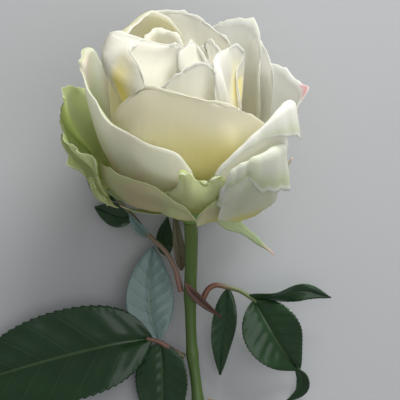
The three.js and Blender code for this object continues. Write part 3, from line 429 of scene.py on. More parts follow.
def petal_surface(petal):
    """The middle surface of a petal, row by row, before its neighbours push it."""
    t = np.linspace(0, 1, COLUMNS + 1)
    azimuths, radii, heights = np.array(petal["rim"], float).T
    rim = through(polar(azimuths, radii, heights), t)
    spread = np.interp(t, [0, 1], petal["fan"]) if petal["fan"] else through(azimuths, t)
    side = (2 * t - 1)[None]
    v = np.linspace(0, 1, BLADE_ROWS + 1)[:, None]
    z = petal["base_height"] + (rim[None, :, 2] - petal["base_height"]) * v**ROW_SPACING
    radius = belly_radius(petal, z) + petal["wrap"] * side * smooth(0, WRAP_TOP, v)
    share = CLAW + (1 - CLAW) * smooth(0, CLAW_END, v)
    bare = polar(petal["azimuth"] + (spread - petal["azimuth"]) * share, radius, z)
    blade = bare + (rim - bare[-1]) * (smooth(petal["close"], 1, v) ** CLOSING)[..., None]
    surface = np.concatenate([blade, lip_rows(petal, blade, side[0])])
    if petal["ruffle"]:
        up = np.linspace(0, 1, len(surface))[:, None]
        wide = np.sin(WIDE_WAVES * math.pi * side) * smooth(WIDE_START, 1, up) ** 1.5
        fine = FINE_SHARE * np.sin(FINE_WAVES * math.pi * side) * smooth(FINE_START, 1, up)
        surface = surface + facing(surface) * (petal["ruffle"] * (wide + fine))[..., None]
    return surface


def lip_rows(petal, blade, side):
    """Rows that carry on past the fold and turn outwards on an arc."""
    fold = blade[-1]
    along = unit(fold - blade[-2])
    outward = unit(np.cross(along, np.gradient(fold, axis=0)))
    flat = np.abs(outward[:, :2]).sum(-1) < UPRIGHT
    towards = np.sign((outward[:, :2] * fold[:, :2]).sum(-1))
    outward *= np.sign(np.where(flat, -np.sign(outward[:, 2]), towards).sum()) or 1
    bump = np.exp(-((side - petal["fold_at"]) ** 2) * petal["fold_spread"])
    width = (petal["lip"] + petal["fold"] * bump) * (1 - LIP_LOSS * side**8)
    roll = math.radians(petal["roll"])
    bend = (roll / (width * petal["crease"]))[:, None]
    rows = []
    for j in range(LIP_ROWS):
        reach = (width * (j + 1) / LIP_ROWS)[:, None]
        turn = np.clip(bend * reach, min(roll, 0), max(roll, 0))
        straight = reach - turn / bend
        ahead = np.sin(turn) / bend + straight * math.cos(roll)
        aside = (1 - np.cos(turn)) / bend + straight * math.sin(roll)
        rows.append(fold + along * ahead + outward * aside)
    return np.array(rows)


# What the petals laid so far fill: for each direction and height, the furthest radius. Each new petal
# is pushed out past it, as petals in a real bud press on each other.
DIRECTIONS = 180
HEIGHTS = 84
LOWEST = -12
SPREAD = 2  # cells that the fill is widened and smoothed by
FILL_STEPS = 4  # places tried along each edge of a petal's grid
EASING_PASSES = 3
LEVEL_MARGIN = 0.001  # keeps the highest place below the last row of cells
TURNED_UP = 0.3  # how much the side of a petal that faces up counts as its inside


def turn_of(places):
    """Direction that each place lies in, as a share of a full turn."""
    return np.arctan2(places[..., 0], places[..., 1]) / (2 * math.pi) % 1


def between_points(surface, steps):
    """Places along the straight lines between a surface's points."""
    for axis in (0, 1):
        count = surface.shape[axis]
        place = np.linspace(0, count - 1, (count - 1) * steps + 1)
        i = np.minimum(place.astype(int), count - 2)
        share = np.expand_dims(place - i, (1, 2) if axis == 0 else (0, 2))
        surface = np.take(surface, i, axis) * (1 - share) + np.take(surface, i + 1, axis) * share
    return surface


class Filled:
    def __init__(self):
        self.radius = np.zeros((DIRECTIONS, HEIGHTS))

    def add(self, surface):
        """Adds a petal, with the clearance outside it."""
        normals = facing(surface)
        outward = unit(surface[..., :2])
        side = np.sign((normals[..., :2] * outward).sum(-1) - TURNED_UP * normals[..., 2])
        side = np.where(side == 0, 1, side)[..., None]
        for layer in (surface, surface + normals * side * PETAL_CLEARANCE):
            places = between_points(layer, FILL_STEPS).reshape(-1, 3)
            i = np.floor(turn_of(places) * DIRECTIONS).astype(int) % DIRECTIONS
            j = np.clip(np.floor(places[:, 2] - LOWEST).astype(int), 0, HEIGHTS - 1)
            np.maximum.at(self.radius, (i, j), np.hypot(places[:, 0], places[:, 1]))

    def smoothed(self):
        """The fill, widened and then averaged over its neighbours."""
        cells = self.radius
        steps = range(-SPREAD, SPREAD + 1)
        for axis in (0, 1):
            cells = np.max([np.roll(cells, step, axis) for step in steps], axis=0)
        for axis in (0, 1):
            cells = np.mean([np.roll(cells, step, axis) for step in steps], axis=0)
        return cells

    def pushed_clear(self, surface, looser):
        """The same surface, pushed outwards past what is filled."""
        cells = self.smoothed()
        radius = np.hypot(surface[..., 0], surface[..., 1])
        place = turn_of(surface) * DIRECTIONS - 0.5
        level = np.clip(surface[..., 2] - LOWEST - 0.5, 0, HEIGHTS - 1 - LEVEL_MARGIN)
        i, j = np.floor(place).astype(int), np.floor(level).astype(int)
        s, t = place - i, level - j
        low = cells[i % DIRECTIONS, j] * (1 - s) + cells[(i + 1) % DIRECTIONS, j] * s
        high = cells[i % DIRECTIONS, j + 1] * (1 - s) + cells[(i + 1) % DIRECTIONS, j + 1] * s
        full = low * (1 - t) + high * t
        push = np.where(full > 0, np.maximum(full + looser - radius, 0), 0)
        for _ in range(EASING_PASSES):
            near = np.pad(push, 1, mode="edge")
            mean = (near[:-2, 1:-1] + near[2:, 1:-1] + near[1:-1, :-2] + near[1:-1, 2:] + push) / 5
            push = np.maximum(push, mean)
        pushed = surface.copy()
        pushed[..., :2] *= ((radius + push) / np.maximum(radius, TINY))[..., None]
        return pushed


def drawn_in(surface):
    """The same surface, narrower low down at the front, where the bloom leans over the stem."""
    radius = np.maximum(np.hypot(surface[..., 0], surface[..., 1]), TINY)
    front = smooth(*LOW_FRONT_SIDES, surface[..., 1] / radius)
    low = 1 - smooth(0, LOW_FRONT_TOP, surface[..., 2])
    drawn = surface.copy()
    drawn[..., :2] *= (1 - LOW_FRONT_LOSS * front * low)[..., None]
    return drawn


def uneven_rim(surface, seed, points, crumple):
    """The same surface with small waves, an uneven outline, points and notches near its rim."""
    random = np.random.default_rng(seed)
    rows, columns = surface.shape[:2]
    side = np.linspace(-1, 1, columns)
    up = np.linspace(0, 1, rows)[:, None]
    turn = math.pi * side
    waves = [np.sin(count * turn + random.uniform(0, 2 * math.pi)) / count**0.5 for count in RIM_WAVES]
    outline = [np.sin(2 * count * turn + random.uniform(0, 2 * math.pi)) / count for count in RIM_WAVES]
    along = unit(np.gradient(surface, axis=0))
    lift = RIM_WAVE * crumple * smooth(WAVES_START, 1, up) * sum(waves)
    reach = RIM_UNEVENNESS * crumple * smooth(OUTLINE_START, 1, up) * sum(outline)
    for place, height, half_width in points:
        far = np.abs((side + 1) / 2 - place) / half_width
        reach = reach + height * smooth(POINTS_START, 1, up) * np.exp(-far)
    return surface + facing(surface) * lift[..., None] + along * reach[..., None]


# Finishes
MIX_A, MIX_B, MIX_RESULT = 6, 7, 2  # sockets of a Mix node that are for colours


def math_node(operation, swapped=False):
    """A method of Value that leaves the operation to a Math node."""
    def method(self, *others):
        values = (*others, self) if swapped else (self, *others)
        return self.finish.node("Math", {"operation": operation}, dict(enumerate(values)))
    return method


class Value:
    """A node's output. Arithmetic on it adds Math nodes to its finish."""

    def __init__(self, finish, socket):
        self.finish = finish
        self.socket = socket

    __add__ = __radd__ = math_node("ADD")
    __sub__ = math_node("SUBTRACT")
    __rsub__ = math_node("SUBTRACT", swapped=True)
    __mul__ = __rmul__ = math_node("MULTIPLY")
    __truediv__ = math_node("DIVIDE")
    __gt__ = math_node("GREATER_THAN")
    __abs__ = math_node("ABSOLUTE")
    sine = math_node("SINE")

    def ease(self, start, end):
        """0 up to start and 1 from end, with a smooth rise between them."""
        ends = {"Value": self, "From Min": start, "From Max": end}
        return self.finish.node("MapRange", {"interpolation_type": "SMOOTHSTEP"}, ends)


class Finish:
    """A material, its Principled shader and the nodes that drive it."""

    def __init__(self, name, numbers):
        self.material = bpy.data.materials.new(name)
        self.material.use_nodes = True
        self.tree = self.material.node_tree
        self.shader = self.tree.nodes["Principled BSDF"]
        self.output = self.tree.nodes["Material Output"]
        for socket, number in numbers.items():
            self.shader.inputs[socket].default_value = number

    def node(self, kind, settings, sockets, output=0):
        """Adds a node, with its settings first and then the values or links of its sockets."""
        made = self.tree.nodes.new("ShaderNode" + kind)
        for name, value in settings.items():
            if name == "stops":
                self.set_stops(made.color_ramp, value)
            else:
                setattr(made, name, value)
        for name, value in sockets.items():
            self.join(value, made.inputs[name])
        return Value(self, made.outputs[output])

    def join(self, value, socket):
        if isinstance(value, Value):
            self.tree.links.new(value.socket, socket)
        elif isinstance(value, tuple) and len(value) == 3 and socket.type == "RGBA":
            socket.default_value = (*value, 1)
        else:
            socket.default_value = value

    def set_stops(self, ramp, stops):
        while len(ramp.elements) < len(stops):
            ramp.elements.new(1)
        for element, (place, colour) in zip(ramp.elements, stops):
            element.position = place
            element.color = (*colour, 1)

    def grain(self):
        """Across the piece, along it, and 1 on its back face."""
        place = self.node("UVMap", {"uv_map": GRAIN_MAP}, {})
        across = self.node("SeparateXYZ", {}, {"Vector": place}, "X")
        along = self.node("SeparateXYZ", {}, {"Vector": place}, "Y")
        back = along > 1
        return across, (along - back) / FACE_SHARE, back

    def noise(self, scale, detail, roughness=0.5, place=None):
        """Cloudy noise from 0 to 1; scale is in clouds a metre where no place is given."""
        place = place or self.node("TexCoord", {}, {}, "Object")
        sockets = {"Vector": place, "Scale": scale, "Detail": detail, "Roughness": roughness}
        return self.node("TexNoise", {}, sockets)

    def lines(self, across, along, count, length):
        """Fine uneven lines that run along the piece."""
        place = self.node("CombineXYZ", {}, {"X": across * count, "Y": along * length})
        return self.noise(1, 3, 0.6, place)

    def mix(self, share, a, b):
        sockets = {0: share, MIX_A: a, MIX_B: b}
        return self.node("Mix", {"data_type": "RGBA"}, sockets, MIX_RESULT)

    def colour(self, value):
        self.join(value, self.shader.inputs["Base Color"])

    def roughness(self, value):
        self.join(value, self.shader.inputs["Roughness"])

    def relief(self, height, depth):
        """Bumps the surface by height, from 0 to 1, times depth in millimetres."""
        sockets = {"Height": height, "Distance": depth * MILLIMETRE, "Strength": 1.0}
        self.join(self.node("Bump", {}, sockets), self.shader.inputs["Normal"])

    def lets_light_through(self, colour, share):
        """Mixes in a thin sheet's glow of the light that falls on its other side."""
        glow = self.node("BsdfTranslucent", {}, {"Color": colour})
        mixed = self.node("MixShader", {}, {0: share, 1: Value(self, self.shader.outputs[0]), 2: glow})
        self.join(mixed, self.output.inputs["Surface"])


PETAL_WHITE = (0.95, 0.95, 0.945)
# Beige, olive and lime skins: the cup's and outer petals' own tint, darkened as painted shade of the bloom's
# front and lower side
PETAL_SHADED_BEIGE = (0.95, 0.94, 0.90)
PETAL_SHADED_OLIVE = (0.86, 0.86, 0.72)
PETAL_SHADED_LIME = (0.80, 0.84, 0.58)
# Cream and yellow: the petals' own colour low down, also laid on as painted shade in the cup's depths and
# hollows
PETAL_CREAM = (0.92, 0.87, 0.55)
PETAL_YELLOW = (0.84, 0.70, 0.10)
PETAL_GREEN = (0.40, 0.55, 0.10)
PETAL_BLUSH = (0.86, 0.62, 0.55)
PETAL_PINK = (0.72, 0.12, 0.24)
PETAL_BRUISE = (0.45, 0.30, 0.14)
WHITE_GLOW = (0.97, 0.965, 0.94)
CREAM_GLOW = (0.97, 0.94, 0.82)
GREEN_GLOW = (0.86, 0.89, 0.64)
PETAL_THROUGH = 0.6  # share of a petal's look that is light from its other side
PETAL_RELIEF = 0.14
PETAL_CLOUDS = 60  # clouds a metre
PETAL_SPOTS = 420  # spots a metre, the strongest of them bruises
PETAL_VEINS = (70, 2.5)  # veins across a petal, and how often they waver along it
PETAL_STREAKS = 26  # green streaks across a petal
CREAM_FADE = 0.55  # share of a petal's height over which its cream and painted shade fade out
TIP_PLACE = 0.72  # where across a petal its pink tip is
TIP_BAND = (0.84, 0.95)  # shares of a petal's height where the pink starts and where it is full
GREEN_BAND = (0.87, 0.96)
# where the very rim is painted white: partly the petal's pale edge, partly painted highlight of the lit rim
LIT_RIM_BAND = (0.965, 0.98)

# Cream and yellow low down are partly the petals' own colour and partly painted shade; on the left one they
# reach high, as painted shade of the crevice at its foot. The yellow patches are painted shade of hollows.
PETAL_FINISHES = {
    "bud": dict(cream_and_shade=0.8, root=0.66),
    "heart left": dict(cream_and_shade=0.4, root=0.6, painted_shade=(0.25, 0.65, 0.08, 0.13, 0.95)),
    "hollow": dict(cream_and_shade=0.6, painted_shade=(0.56, 0.62, 0.15, 0.13, 0.8)),
    "heart": dict(cream_and_shade=0.4, root=0.6),
    "fold": dict(cream_and_shade=0.75, blush=0.05, root=0.56),
    "left": dict(cream_and_shade=1.0, root=0.88, green=0.1),
    # the cup's and the outer petals' darker skins are partly painted shade
    "cup": dict(skin=PETAL_SHADED_BEIGE, glow=CREAM_GLOW, cream_and_shade=1.0, root=0.47, green=0.16,
                painted_shade=(0.62, 0.52, 0.34, 0.18, 0.55)),
    "pale": dict(cream_and_shade=0.22, root=0.4, green=0.14, edge=0.35, blush=0.05),
    "tipped": dict(cream_and_shade=0.2, root=0.3, green=0.14, tip=0.8),
    "blushed": dict(cream_and_shade=0.3, root=0.3, green=0.9, edge=0.6, blush=0.5),
    "guard": dict(skin=PETAL_SHADED_OLIVE, glow=GREEN_GLOW, cream_and_shade=0.4, root=0.3, green=1.0, edge=0.7, blush=0.7,
                  bruise=0.25),
    "white guard": dict(cream_and_shade=0.4, root=0.14, green=0.6, edge=0.5, bruise=0.1),
    "crumpled": dict(skin=PETAL_SHADED_OLIVE, glow=GREEN_GLOW, cream_and_shade=0.3, root=0.25, green=0.8, edge=0.7,
                     bruise=0.1),
    "green": dict(skin=PETAL_SHADED_LIME, glow=GREEN_GLOW, cream_and_shade=0.5, root=0.2, green=1.15, edge=0.8, bruise=0.3),
}


def petal_green(across, along, back, clouds):
    """Share of green, strongest on the back, along the middle and low down, in soft streaks."""
    middle = 1 - abs(across - 0.5).ease(0, 0.45)
    low = 1 - 0.5 * along.ease(0.6, 1)
    streaks = (across * PETAL_STREAKS + clouds * 3).sine().ease(-0.6, 1)
    return (0.5 + 0.5 * middle) * low * (0.4 + 0.6 * back) * (0.35 + 0.5 * clouds + 0.35 * streaks)


def soft_patch(across, along, place, height, half_width, half_height):
    """1 at a place on a petal, and 0 from half_width and half_height away."""
    return (1 - abs(across - place).ease(0, half_width)) * (1 - abs(along - height).ease(0, half_height))


def petal_finish(name, skin=PETAL_WHITE, glow=WHITE_GLOW, cream_and_shade=0.35, root=0.5, green=0.0, edge=0.15,
                 blush=0.0, bruise=0.0, tip=0.0, painted_shade=None):
    """Velvety skin, creamy and yellow down in the cup, with fine veins that run up to the rim.

    Cream is how creamy and yellow it is low down, partly its own colour and partly painted shade of the cup's
    depths, and root the share of its height where that starts to fade. Green, edge, blush, bruise and tip say
    how strong are the green of its middle and of its edge, its pink clouds, its brown spots and its pink tip.
    A painted shade patch is a soft yellow patch where a hollow lies in shade, as soft_patch takes it, and its
    strength; less light comes through it. The glow is the light that comes through.
    """
    paint = Finish(name, {"Sheen Weight": 0.15, "Sheen Roughness": 0.4, "Specular IOR Level": 0.35})
    across, along, back = paint.grain()
    clouds = paint.noise(PETAL_CLOUDS, 4)
    veins = paint.lines(across, along, *PETAL_VEINS)
    spots = paint.noise(PETAL_SPOTS, 2).ease(0.68, 0.74)
    # cream and yellow low down: partly the petal's own colour, partly painted shade of the cup's depths
    deep = 1 - (along + clouds * 0.25).ease(root, root + CREAM_FADE)
    tint = paint.mix(deep * cream_and_shade, skin, PETAL_CREAM)
    tint = paint.mix(0.9 - 0.9 * along.ease(root * 0.3, root + 0.1), tint, PETAL_YELLOW)
    tint = paint.mix(green * petal_green(across, along, back, clouds), tint, PETAL_GREEN)
    tint = paint.mix(blush * clouds.ease(0.4, 0.7), tint, PETAL_BLUSH)
    if tip:
        spot = (1 - abs(across - TIP_PLACE).ease(0.02, 0.07)) * along.ease(*TIP_BAND) * (0.5 + clouds)
        tint = paint.mix(tip * spot, tint, PETAL_PINK)
    through = PETAL_THROUGH
    # painted shade: a soft yellow patch where a hollow lies in shade, with less light coming through
    if painted_shade:
        *patch, strength = painted_shade
        painted_shade_share = strength * soft_patch(across, along, *patch)
        tint = paint.mix(painted_shade_share, tint, PETAL_YELLOW)
        through = PETAL_THROUGH - 0.5 * painted_shade_share
    tint = paint.mix(edge * along.ease(*GREEN_BAND), tint, PETAL_GREEN)
    # painted highlight along the lit rim, over the petal's pale edge
    tint = paint.mix(0.8 * along.ease(*LIT_RIM_BAND), tint, PETAL_WHITE)
    tint = paint.mix(bruise * spots, tint, PETAL_BRUISE)
    paint.colour(paint.mix(0.08 * abs(veins - 0.5).ease(0, 0.12), tint, PETAL_GREEN))
    paint.roughness(0.46 + 0.14 * clouds)
    paint.relief(veins * 0.5 + 0.4 * clouds, PETAL_RELIEF)
    paint.lets_light_through(glow, through)
    return paint.material


LEAF_UPPER = (0.004, 0.026, 0.006)
LEAF_UPPER_LIGHT = (0.013, 0.062, 0.014)
# Bluish underside colour; on a leaflet shown pale side up it is partly painted reflection of light on the
# leaf's gloss
LEAF_LOWER_AND_SHEEN = (0.135, 0.225, 0.215)
LEAF_LOWER_AND_SHEEN_LIGHT = (0.230, 0.335, 0.335)
LEAF_VEIN = (0.120, 0.190, 0.070)
LEAF_GLOW = (0.10, 0.22, 0.05)
LEAF_THROUGH = 0.08  # share of a leaf's look that is light from its other side
LEAF_RELIEF = 0.16
LEAF_CLOUDS = 90  # clouds a metre
LEAF_SWELLS = 70  # swells a metre
LEAF_NET = (30, 55)  # cells of the fine net of veins, across and along a leaflet
MIDRIB_BAND = (0.012, 0.05)  # shares of the half width where the midrib's side starts and ends
SIDE_VEINS = 8  # side veins of a leaflet, from base to tip
VEIN_SWEEP = 0.16  # how far towards the tip a side vein has run where it meets the edge


def leaf_finish(name, pale_blue_on_top=False):
    """Waxy dark green above and dull blue-green below, with a pale midrib and side veins. A leaflet shown
    pale side up takes the blue-green on top, where it is partly its underside colour and partly painted
    reflection of light on its gloss.
    """
    paint = Finish(name, {"Coat Weight": 0.8, "Coat Roughness": 0.22, "Specular IOR Level": 0.2})
    across, along, back = paint.grain()
    # a leaflet shown pale side up gets the bluish underside colour on its front face, partly as painted
    # reflection
    upper = back if pale_blue_on_top else 1 - back
    out = abs(across * 2 - 1)
    clouds = paint.noise(LEAF_CLOUDS, 4)
    swells = paint.noise(LEAF_SWELLS, 1)
    midrib = 1 - out.ease(*MIDRIB_BAND)
    wave = ((along - VEIN_SWEEP * out) * (SIDE_VEINS * 2 * math.pi)).sine()
    side_veins = wave.ease(0.93, 1) * (1 - out.ease(0.75, 1))
    net_place = paint.node("CombineXYZ", {}, {"X": across * LEAF_NET[0], "Y": along * LEAF_NET[1]})
    cells = paint.node("TexVoronoi", {"feature": "DISTANCE_TO_EDGE"}, {"Vector": net_place, "Scale": 1.0})
    net = 1 - cells.ease(0, 0.12)
    top = paint.mix(clouds, LEAF_UPPER, LEAF_UPPER_LIGHT)
    top = paint.mix(0.4 * midrib + 0.06 * side_veins, top, LEAF_VEIN)
    under_and_sheen = paint.mix(clouds, LEAF_LOWER_AND_SHEEN, LEAF_LOWER_AND_SHEEN_LIGHT)
    under_and_sheen = paint.mix(0.55 * midrib + 0.45 * side_veins + 0.18 * net, under_and_sheen, LEAF_VEIN)
    paint.colour(paint.mix(upper, under_and_sheen, top))
    paint.roughness(0.62 - 0.3 * upper + 0.12 * clouds)
    paint.relief(net * -0.2 + side_veins * -0.6 - midrib + clouds * 0.4 + swells * 7, LEAF_RELIEF)
    paint.lets_light_through(LEAF_GLOW, LEAF_THROUGH)
    return paint.material


STALK_STREAKS = (24, 9)  # streaks round a stalk, and how often they waver along it
STALK_FLECKS = 700  # flecks a metre
STALK_RELIEF = 0.12


def stalk_finish(name, stops, streak, roughness=0.42):
    """Green or brown bark with fine streaks and a few darker flecks; stops run from end to end."""
    paint = Finish(name, {"Coat Weight": 0.15, "Coat Roughness": 0.35})
    across, along, _ = paint.grain()
    streaks = paint.lines(across, along, *STALK_STREAKS)
    flecks = paint.noise(STALK_FLECKS, 2).ease(0.66, 0.75)
    skin = paint.node("ValToRGB", {"stops": stops}, {"Fac": along})
    skin = paint.mix(streaks * 0.6, skin, streak)
    paint.colour(paint.mix(flecks * 0.35, skin, streak))
    paint.roughness(roughness + 0.2 * (streaks - 0.5))
    paint.relief(streaks + flecks * 0.5, STALK_RELIEF)
    return paint.material


FLOOR_DARK = (0.39, 0.40, 0.415)
FLOOR_LIGHT = (0.42, 0.43, 0.445)
FLOOR_CLOUDS = 6  # clouds a metre
FLOOR_GRAINS = 900  # grains a metre
FLOOR_RELIEF = 0.03


def floor_finish():
    paint = Finish("pale floor", {"Roughness": 0.75})
    paint.colour(paint.mix(paint.noise(FLOOR_CLOUDS, 3), FLOOR_DARK, FLOOR_LIGHT))
    paint.relief(paint.noise(FLOOR_GRAINS, 2), FLOOR_RELIEF)
    return paint.material


# Pieces
def make_petals():
    finishes = {name: petal_finish("petal " + name, **given) for name, given in PETAL_FINISHES.items()}
    filled = Filled()
    for number, (name, petal) in enumerate(PETALS.items()):
        surface = filled.pushed_clear(petal_surface(petal), petal["looser"])
        filled.add(surface)
        shape = Shape()
        blade = finer(drawn_in(surface), FINER)
        blade = uneven_rim(blade, number, petal["points"], petal["crumple"])
        shape.add_sheet(to_table(blade), PETAL_THICKNESS)
        shape.piece(name + "_bloom", [finishes[petal["finish"]]], "petal", name)


# Stem: a tapered tube through these places, thicker where the leaves join it
STEM_LINE = [[0, -14.7, 23.9], [0.4, -20, 21.4], [0.3, -30, 17.5], [0, -45, 13], [0.6, -64, 9.2],
             [2.9, -84, 7], [5, -120, 5.2], [7, -170, 3.7], [8, CUT_END_Y, 2.3]]
LEAF_JOINTS = [-43, -66, -84]  # where along Y the leaves and the side bud join
STEM_RINGS = 150
STEM_SIDES = 28
CUT_SLANT = 1.6
JOINT_SWELLING = 0.35  # how much thicker the stem is at a joint
JOINT_REACH = 3
WAIST = 0.5  # how much thinner it gets along the first of these two stretches below the bloom
WAIST_STRETCH = (15, 60)
REGAIN = 0.25  # how much of that it gains back along the other
REGAIN_STRETCH = (100, 200)
PRICKLES = 4
PRICKLES_START = 0.68  # share of the stem's length where the first stretch of a prickle starts
PRICKLES_STRETCH = 0.27
PRICKLE_TURNS = (20, 140)  # smallest turn of a prickle from the right over the top, and how much more
PRICKLE_SLANT = 0.25  # how much a prickle's foot points to the bloom
PRICKLE_SINK = 0.8  # how deep it starts below the stem's surface
PRICKLE_HEIGHT = 3.2
PRICKLE_ROOT = 1.1
PRICKLE_POINT = 0.06
PRICKLE_TAPER = 1.3
PRICKLE_RINGS = 12
PRICKLE_SIDES = 14
PRICKLE_SEED = 7
PRICKLE_BEND = 0.9  # how far a prickle's tip leans towards the cut end
STEM_GREENS = [(0, (0.12, 0.20, 0.03)), (0.3, (0.075, 0.145, 0.020)), (1, (0.055, 0.105, 0.018))]
STEM_STREAK = (0.038, 0.065, 0.014)
PRICKLE_COLOURS = [(0, (0.18, 0.24, 0.06)), (1, (0.30, 0.10, 0.05))]
PRICKLE_STREAK = (0.25, 0.12, 0.05)


def stem_radius(y):
    swelling = sum(JOINT_SWELLING * np.exp(-(((y - joint) / JOINT_REACH) ** 2)) for joint in LEAF_JOINTS)
    waist = WAIST * smooth(*WAIST_STRETCH, -y) - REGAIN * smooth(*REGAIN_STRETCH, -y)
    return STEM_RADIUS - waist + swelling


def seeded(seed):
    """Seeded random numbers, 0 to 1, the same as the solids use."""
    factor, step, states = 1664525, 1013904223, 2**32
    state = seed
    while True:
        state = (state * factor + step) % states
        yield state / states


def make_stem():
    shape = Shape()
    shape.add_tube(STEM_LINE, STEM_RINGS, STEM_SIDES, lambda centre, t: stem_radius(centre[:, 1]), CUT_SLANT)
    random = seeded(PRICKLE_SEED)
    for k in range(PRICKLES):
        t = PRICKLES_START + (PRICKLES_STRETCH * (k + 0.5 * next(random))) / PRICKLES
        centre = through(STEM_LINE, t)
        turn = math.radians(PRICKLE_TURNS[0] + PRICKLE_TURNS[1] * next(random))
        out = unit(np.array([math.cos(turn), PRICKLE_SLANT, math.sin(turn)]))
        root = centre + out * (stem_radius(centre[1]) - PRICKLE_SINK)
        tip = root + out * PRICKLE_HEIGHT
        line = [root, (root + tip) / 2, tip - [0, PRICKLE_BEND, 0]]
        shape.add_tube(line, PRICKLE_RINGS, PRICKLE_SIDES,
                       lambda _, s: PRICKLE_ROOT * (1 - s) ** PRICKLE_TAPER + PRICKLE_POINT, finish=1)
    skin = stalk_finish("stem skin", STEM_GREENS, STEM_STREAK)
    prickle = stalk_finish("prickle", PRICKLE_COLOURS, PRICKLE_STREAK)
    shape.piece("stem_green", [skin, prickle], "stem", "stem")


# Calyx: the hip under the petals, and five sepals
HIP_PROFILE = [[0.01, -0.8], [6.4, -0.8], [7, -2.6], [7.3, -5], [7.2, -7.4], [6.1, -10.5], [4.5, -13.4],
               [2.9, -16.1]]
HIP_RINGS = 40
HIP_SIDES = 48
SEPAL_THICKNESS = 0.7
SEPAL_NECK = 0.65  # share of its width that a sepal loses past its middle
SEPAL_ROWS = 40
SEPAL_COLUMNS = 13
SEPAL_TURN_END = 0.3  # share of its length where a turned sepal has its full turn
SEPAL_HOLLOW = 0.12  # how much higher its two sides are than its middle, as a share of its half width
NARROWEST = 0.5  # half width that a sepal or a leaflet keeps at its tip
HIP_SKIN = 0.3
HIP_COLOURS = [(0, (0.16, 0.27, 0.06)), (1, (0.20, 0.33, 0.07))]
HIP_STREAK = (0.10, 0.18, 0.04)
SEPAL_COLOURS = [(0, (0.42, 0.52, 0.25)), (0.6, (0.36, 0.46, 0.20)), (0.85, (0.20, 0.30, 0.10)),
                 (1, (0.60, 0.30, 0.30))]
SEPAL_STREAK = (0.55, 0.62, 0.42)
SEPAL_ROUGHNESS = 0.55
# azimuth, half width, how far it is turned about its length, and its middle line as radius and height
SEPALS = [
    (74, 4.6, 65, [[5, -6.5], [12, -10.5], [21, -17], [33, -25.5]]),
    (112, 3.6, 0, [[5, -6.5], [22, -10], [36, -5], [42, 3]]),
    (178, 3.6, 0, [[5, -6.5], [12, -12], [15, -20], [14, -28]]),
    (-108, 3.8, 0, [[5, -6.5], [20, -10], [32, -9], [42, -2]]),
    (-60, 3.6, 0, [[5, -6.5], [13, -8], [22, -6.3], [30, -2]]),
]


def sepal_surface(azimuth, half_width, turned, line):
    t = np.linspace(0, 1, SEPAL_ROWS + 1)[:, None]
    side = np.linspace(-1, 1, SEPAL_COLUMNS)[None]
    radius, z = through(line, t[:, 0]).T[..., None]
    neck = (1 - SEPAL_NECK * smooth(0.4, 0.7, t)) * (1 - smooth(0.8, 1, t))
    width = np.maximum(half_width * neck * (0.8 + 0.4 * np.sin(math.pi * t)), NARROWEST)
    centre = polar(azimuth, radius, z + SEPAL_HOLLOW * width * side**2)
    turn = (math.radians(turned) * smooth(0, SEPAL_TURN_END, t))[..., None]
    across = polar(azimuth + 90, 1.0, 0.0) * np.cos(turn) + UP * np.sin(turn)
    return to_table(centre + across * (width * side)[..., None])


def make_calyx():
    shape = Shape()
    rings = through(HIP_PROFILE, np.linspace(0, 1, HIP_RINGS + 1))
    turn = np.linspace(0, 360, HIP_SIDES + 1)[None]
    hip = to_table(polar(turn, rings[:, :1], rings[:, 1:]))
    shape.add_sheet(hip, HIP_SKIN)
    for sepal in SEPALS:
        shape.add_sheet(sepal_surface(*sepal), SEPAL_THICKNESS, 1)
    hip_skin = stalk_finish("hip skin", HIP_COLOURS, HIP_STREAK)
    sepal_skin = stalk_finish("sepal", SEPAL_COLOURS, SEPAL_STREAK, SEPAL_ROUGHNESS)
    shape.piece("calyx_green", [hip_skin, sepal_skin], "sepal", "calyx")


# Leaflets: a toothed blade either side of a midrib
ROWS_PER_TOOTH = 5
TOOTH_SPLIT = 3  # teeth of the mesh for each tooth of the solid
TOOTH = 0.035  # how far a tooth stands out, as a share of the blade's half width
TOOTH_PEAK = 0.8  # share of a tooth's length where it is highest
BORDER = 0.75  # share of the half width where the teeth start
LEAFLET_COLUMNS = 29
LEAFLET_STEP = 0.02  # share of a midrib's length either side of a place that gives its direction
FULLNESS = 0.8  # below 1, a leaflet is fuller than a sine
GROOVE = 0.05  # how deep the groove over the midrib is, as a share of the half width
GROOVE_SIDE = 0.25
PUFF = 0.009  # how much a blade bulges between its side veins, as a share of its half width
STALK_SIDES = 14


def leaf_width(t):
    return np.sin(math.pi * t**FULLNESS) ** FULLNESS


def leaflet_surface(midrib, half_width, fold=12, roll=(0, 0), teeth=7, wave=0.6):
    rows = ROWS_PER_TOOTH * TOOTH_SPLIT * teeth
    t = np.linspace(0, 1, rows + 1)
    s = np.linspace(-1, 1, LEAFLET_COLUMNS)[None]
    centre = through(midrib, t)
    along = direction(midrib, t, LEAFLET_STEP)
    side = unit(np.cross(along, UP))
    angle = np.radians(roll[0] + (roll[1] - roll[0]) * t)[:, None]
    side = side * np.cos(angle) + np.cross(along, side) * np.sin(angle)
    normal = np.cross(side, along)
    t = t[:, None]
    out = np.abs(s)
    saw = (t * teeth * TOOTH_SPLIT) % 1
    saw = np.where(saw < TOOTH_PEAK, saw / TOOTH_PEAK, (1 - saw) / (1 - TOOTH_PEAK)) - 0.5
    width = np.maximum(half_width * leaf_width(t) * (1 + TOOTH * saw * smooth(BORDER, 1, out)), NARROWEST)
    fold = math.radians(fold)
    puff = PUFF * half_width * np.sin(2 * math.pi * SIDE_VEINS * (t - VEIN_SWEEP * out))
    puff = puff * smooth(0, 0.2, out) * (1 - smooth(0.8, 1, out)) * leaf_width(t)
    groove = GROOVE * half_width * (1 - smooth(0, GROOVE_SIDE, out))
    lift = width * out * math.sin(fold) + wave * s**2 * np.sin(9 * t + 2 * s) + puff - groove
    return (centre[:, None] + side[:, None] * (width * s * math.cos(fold))[..., None]
            + normal[:, None] * lift[..., None])


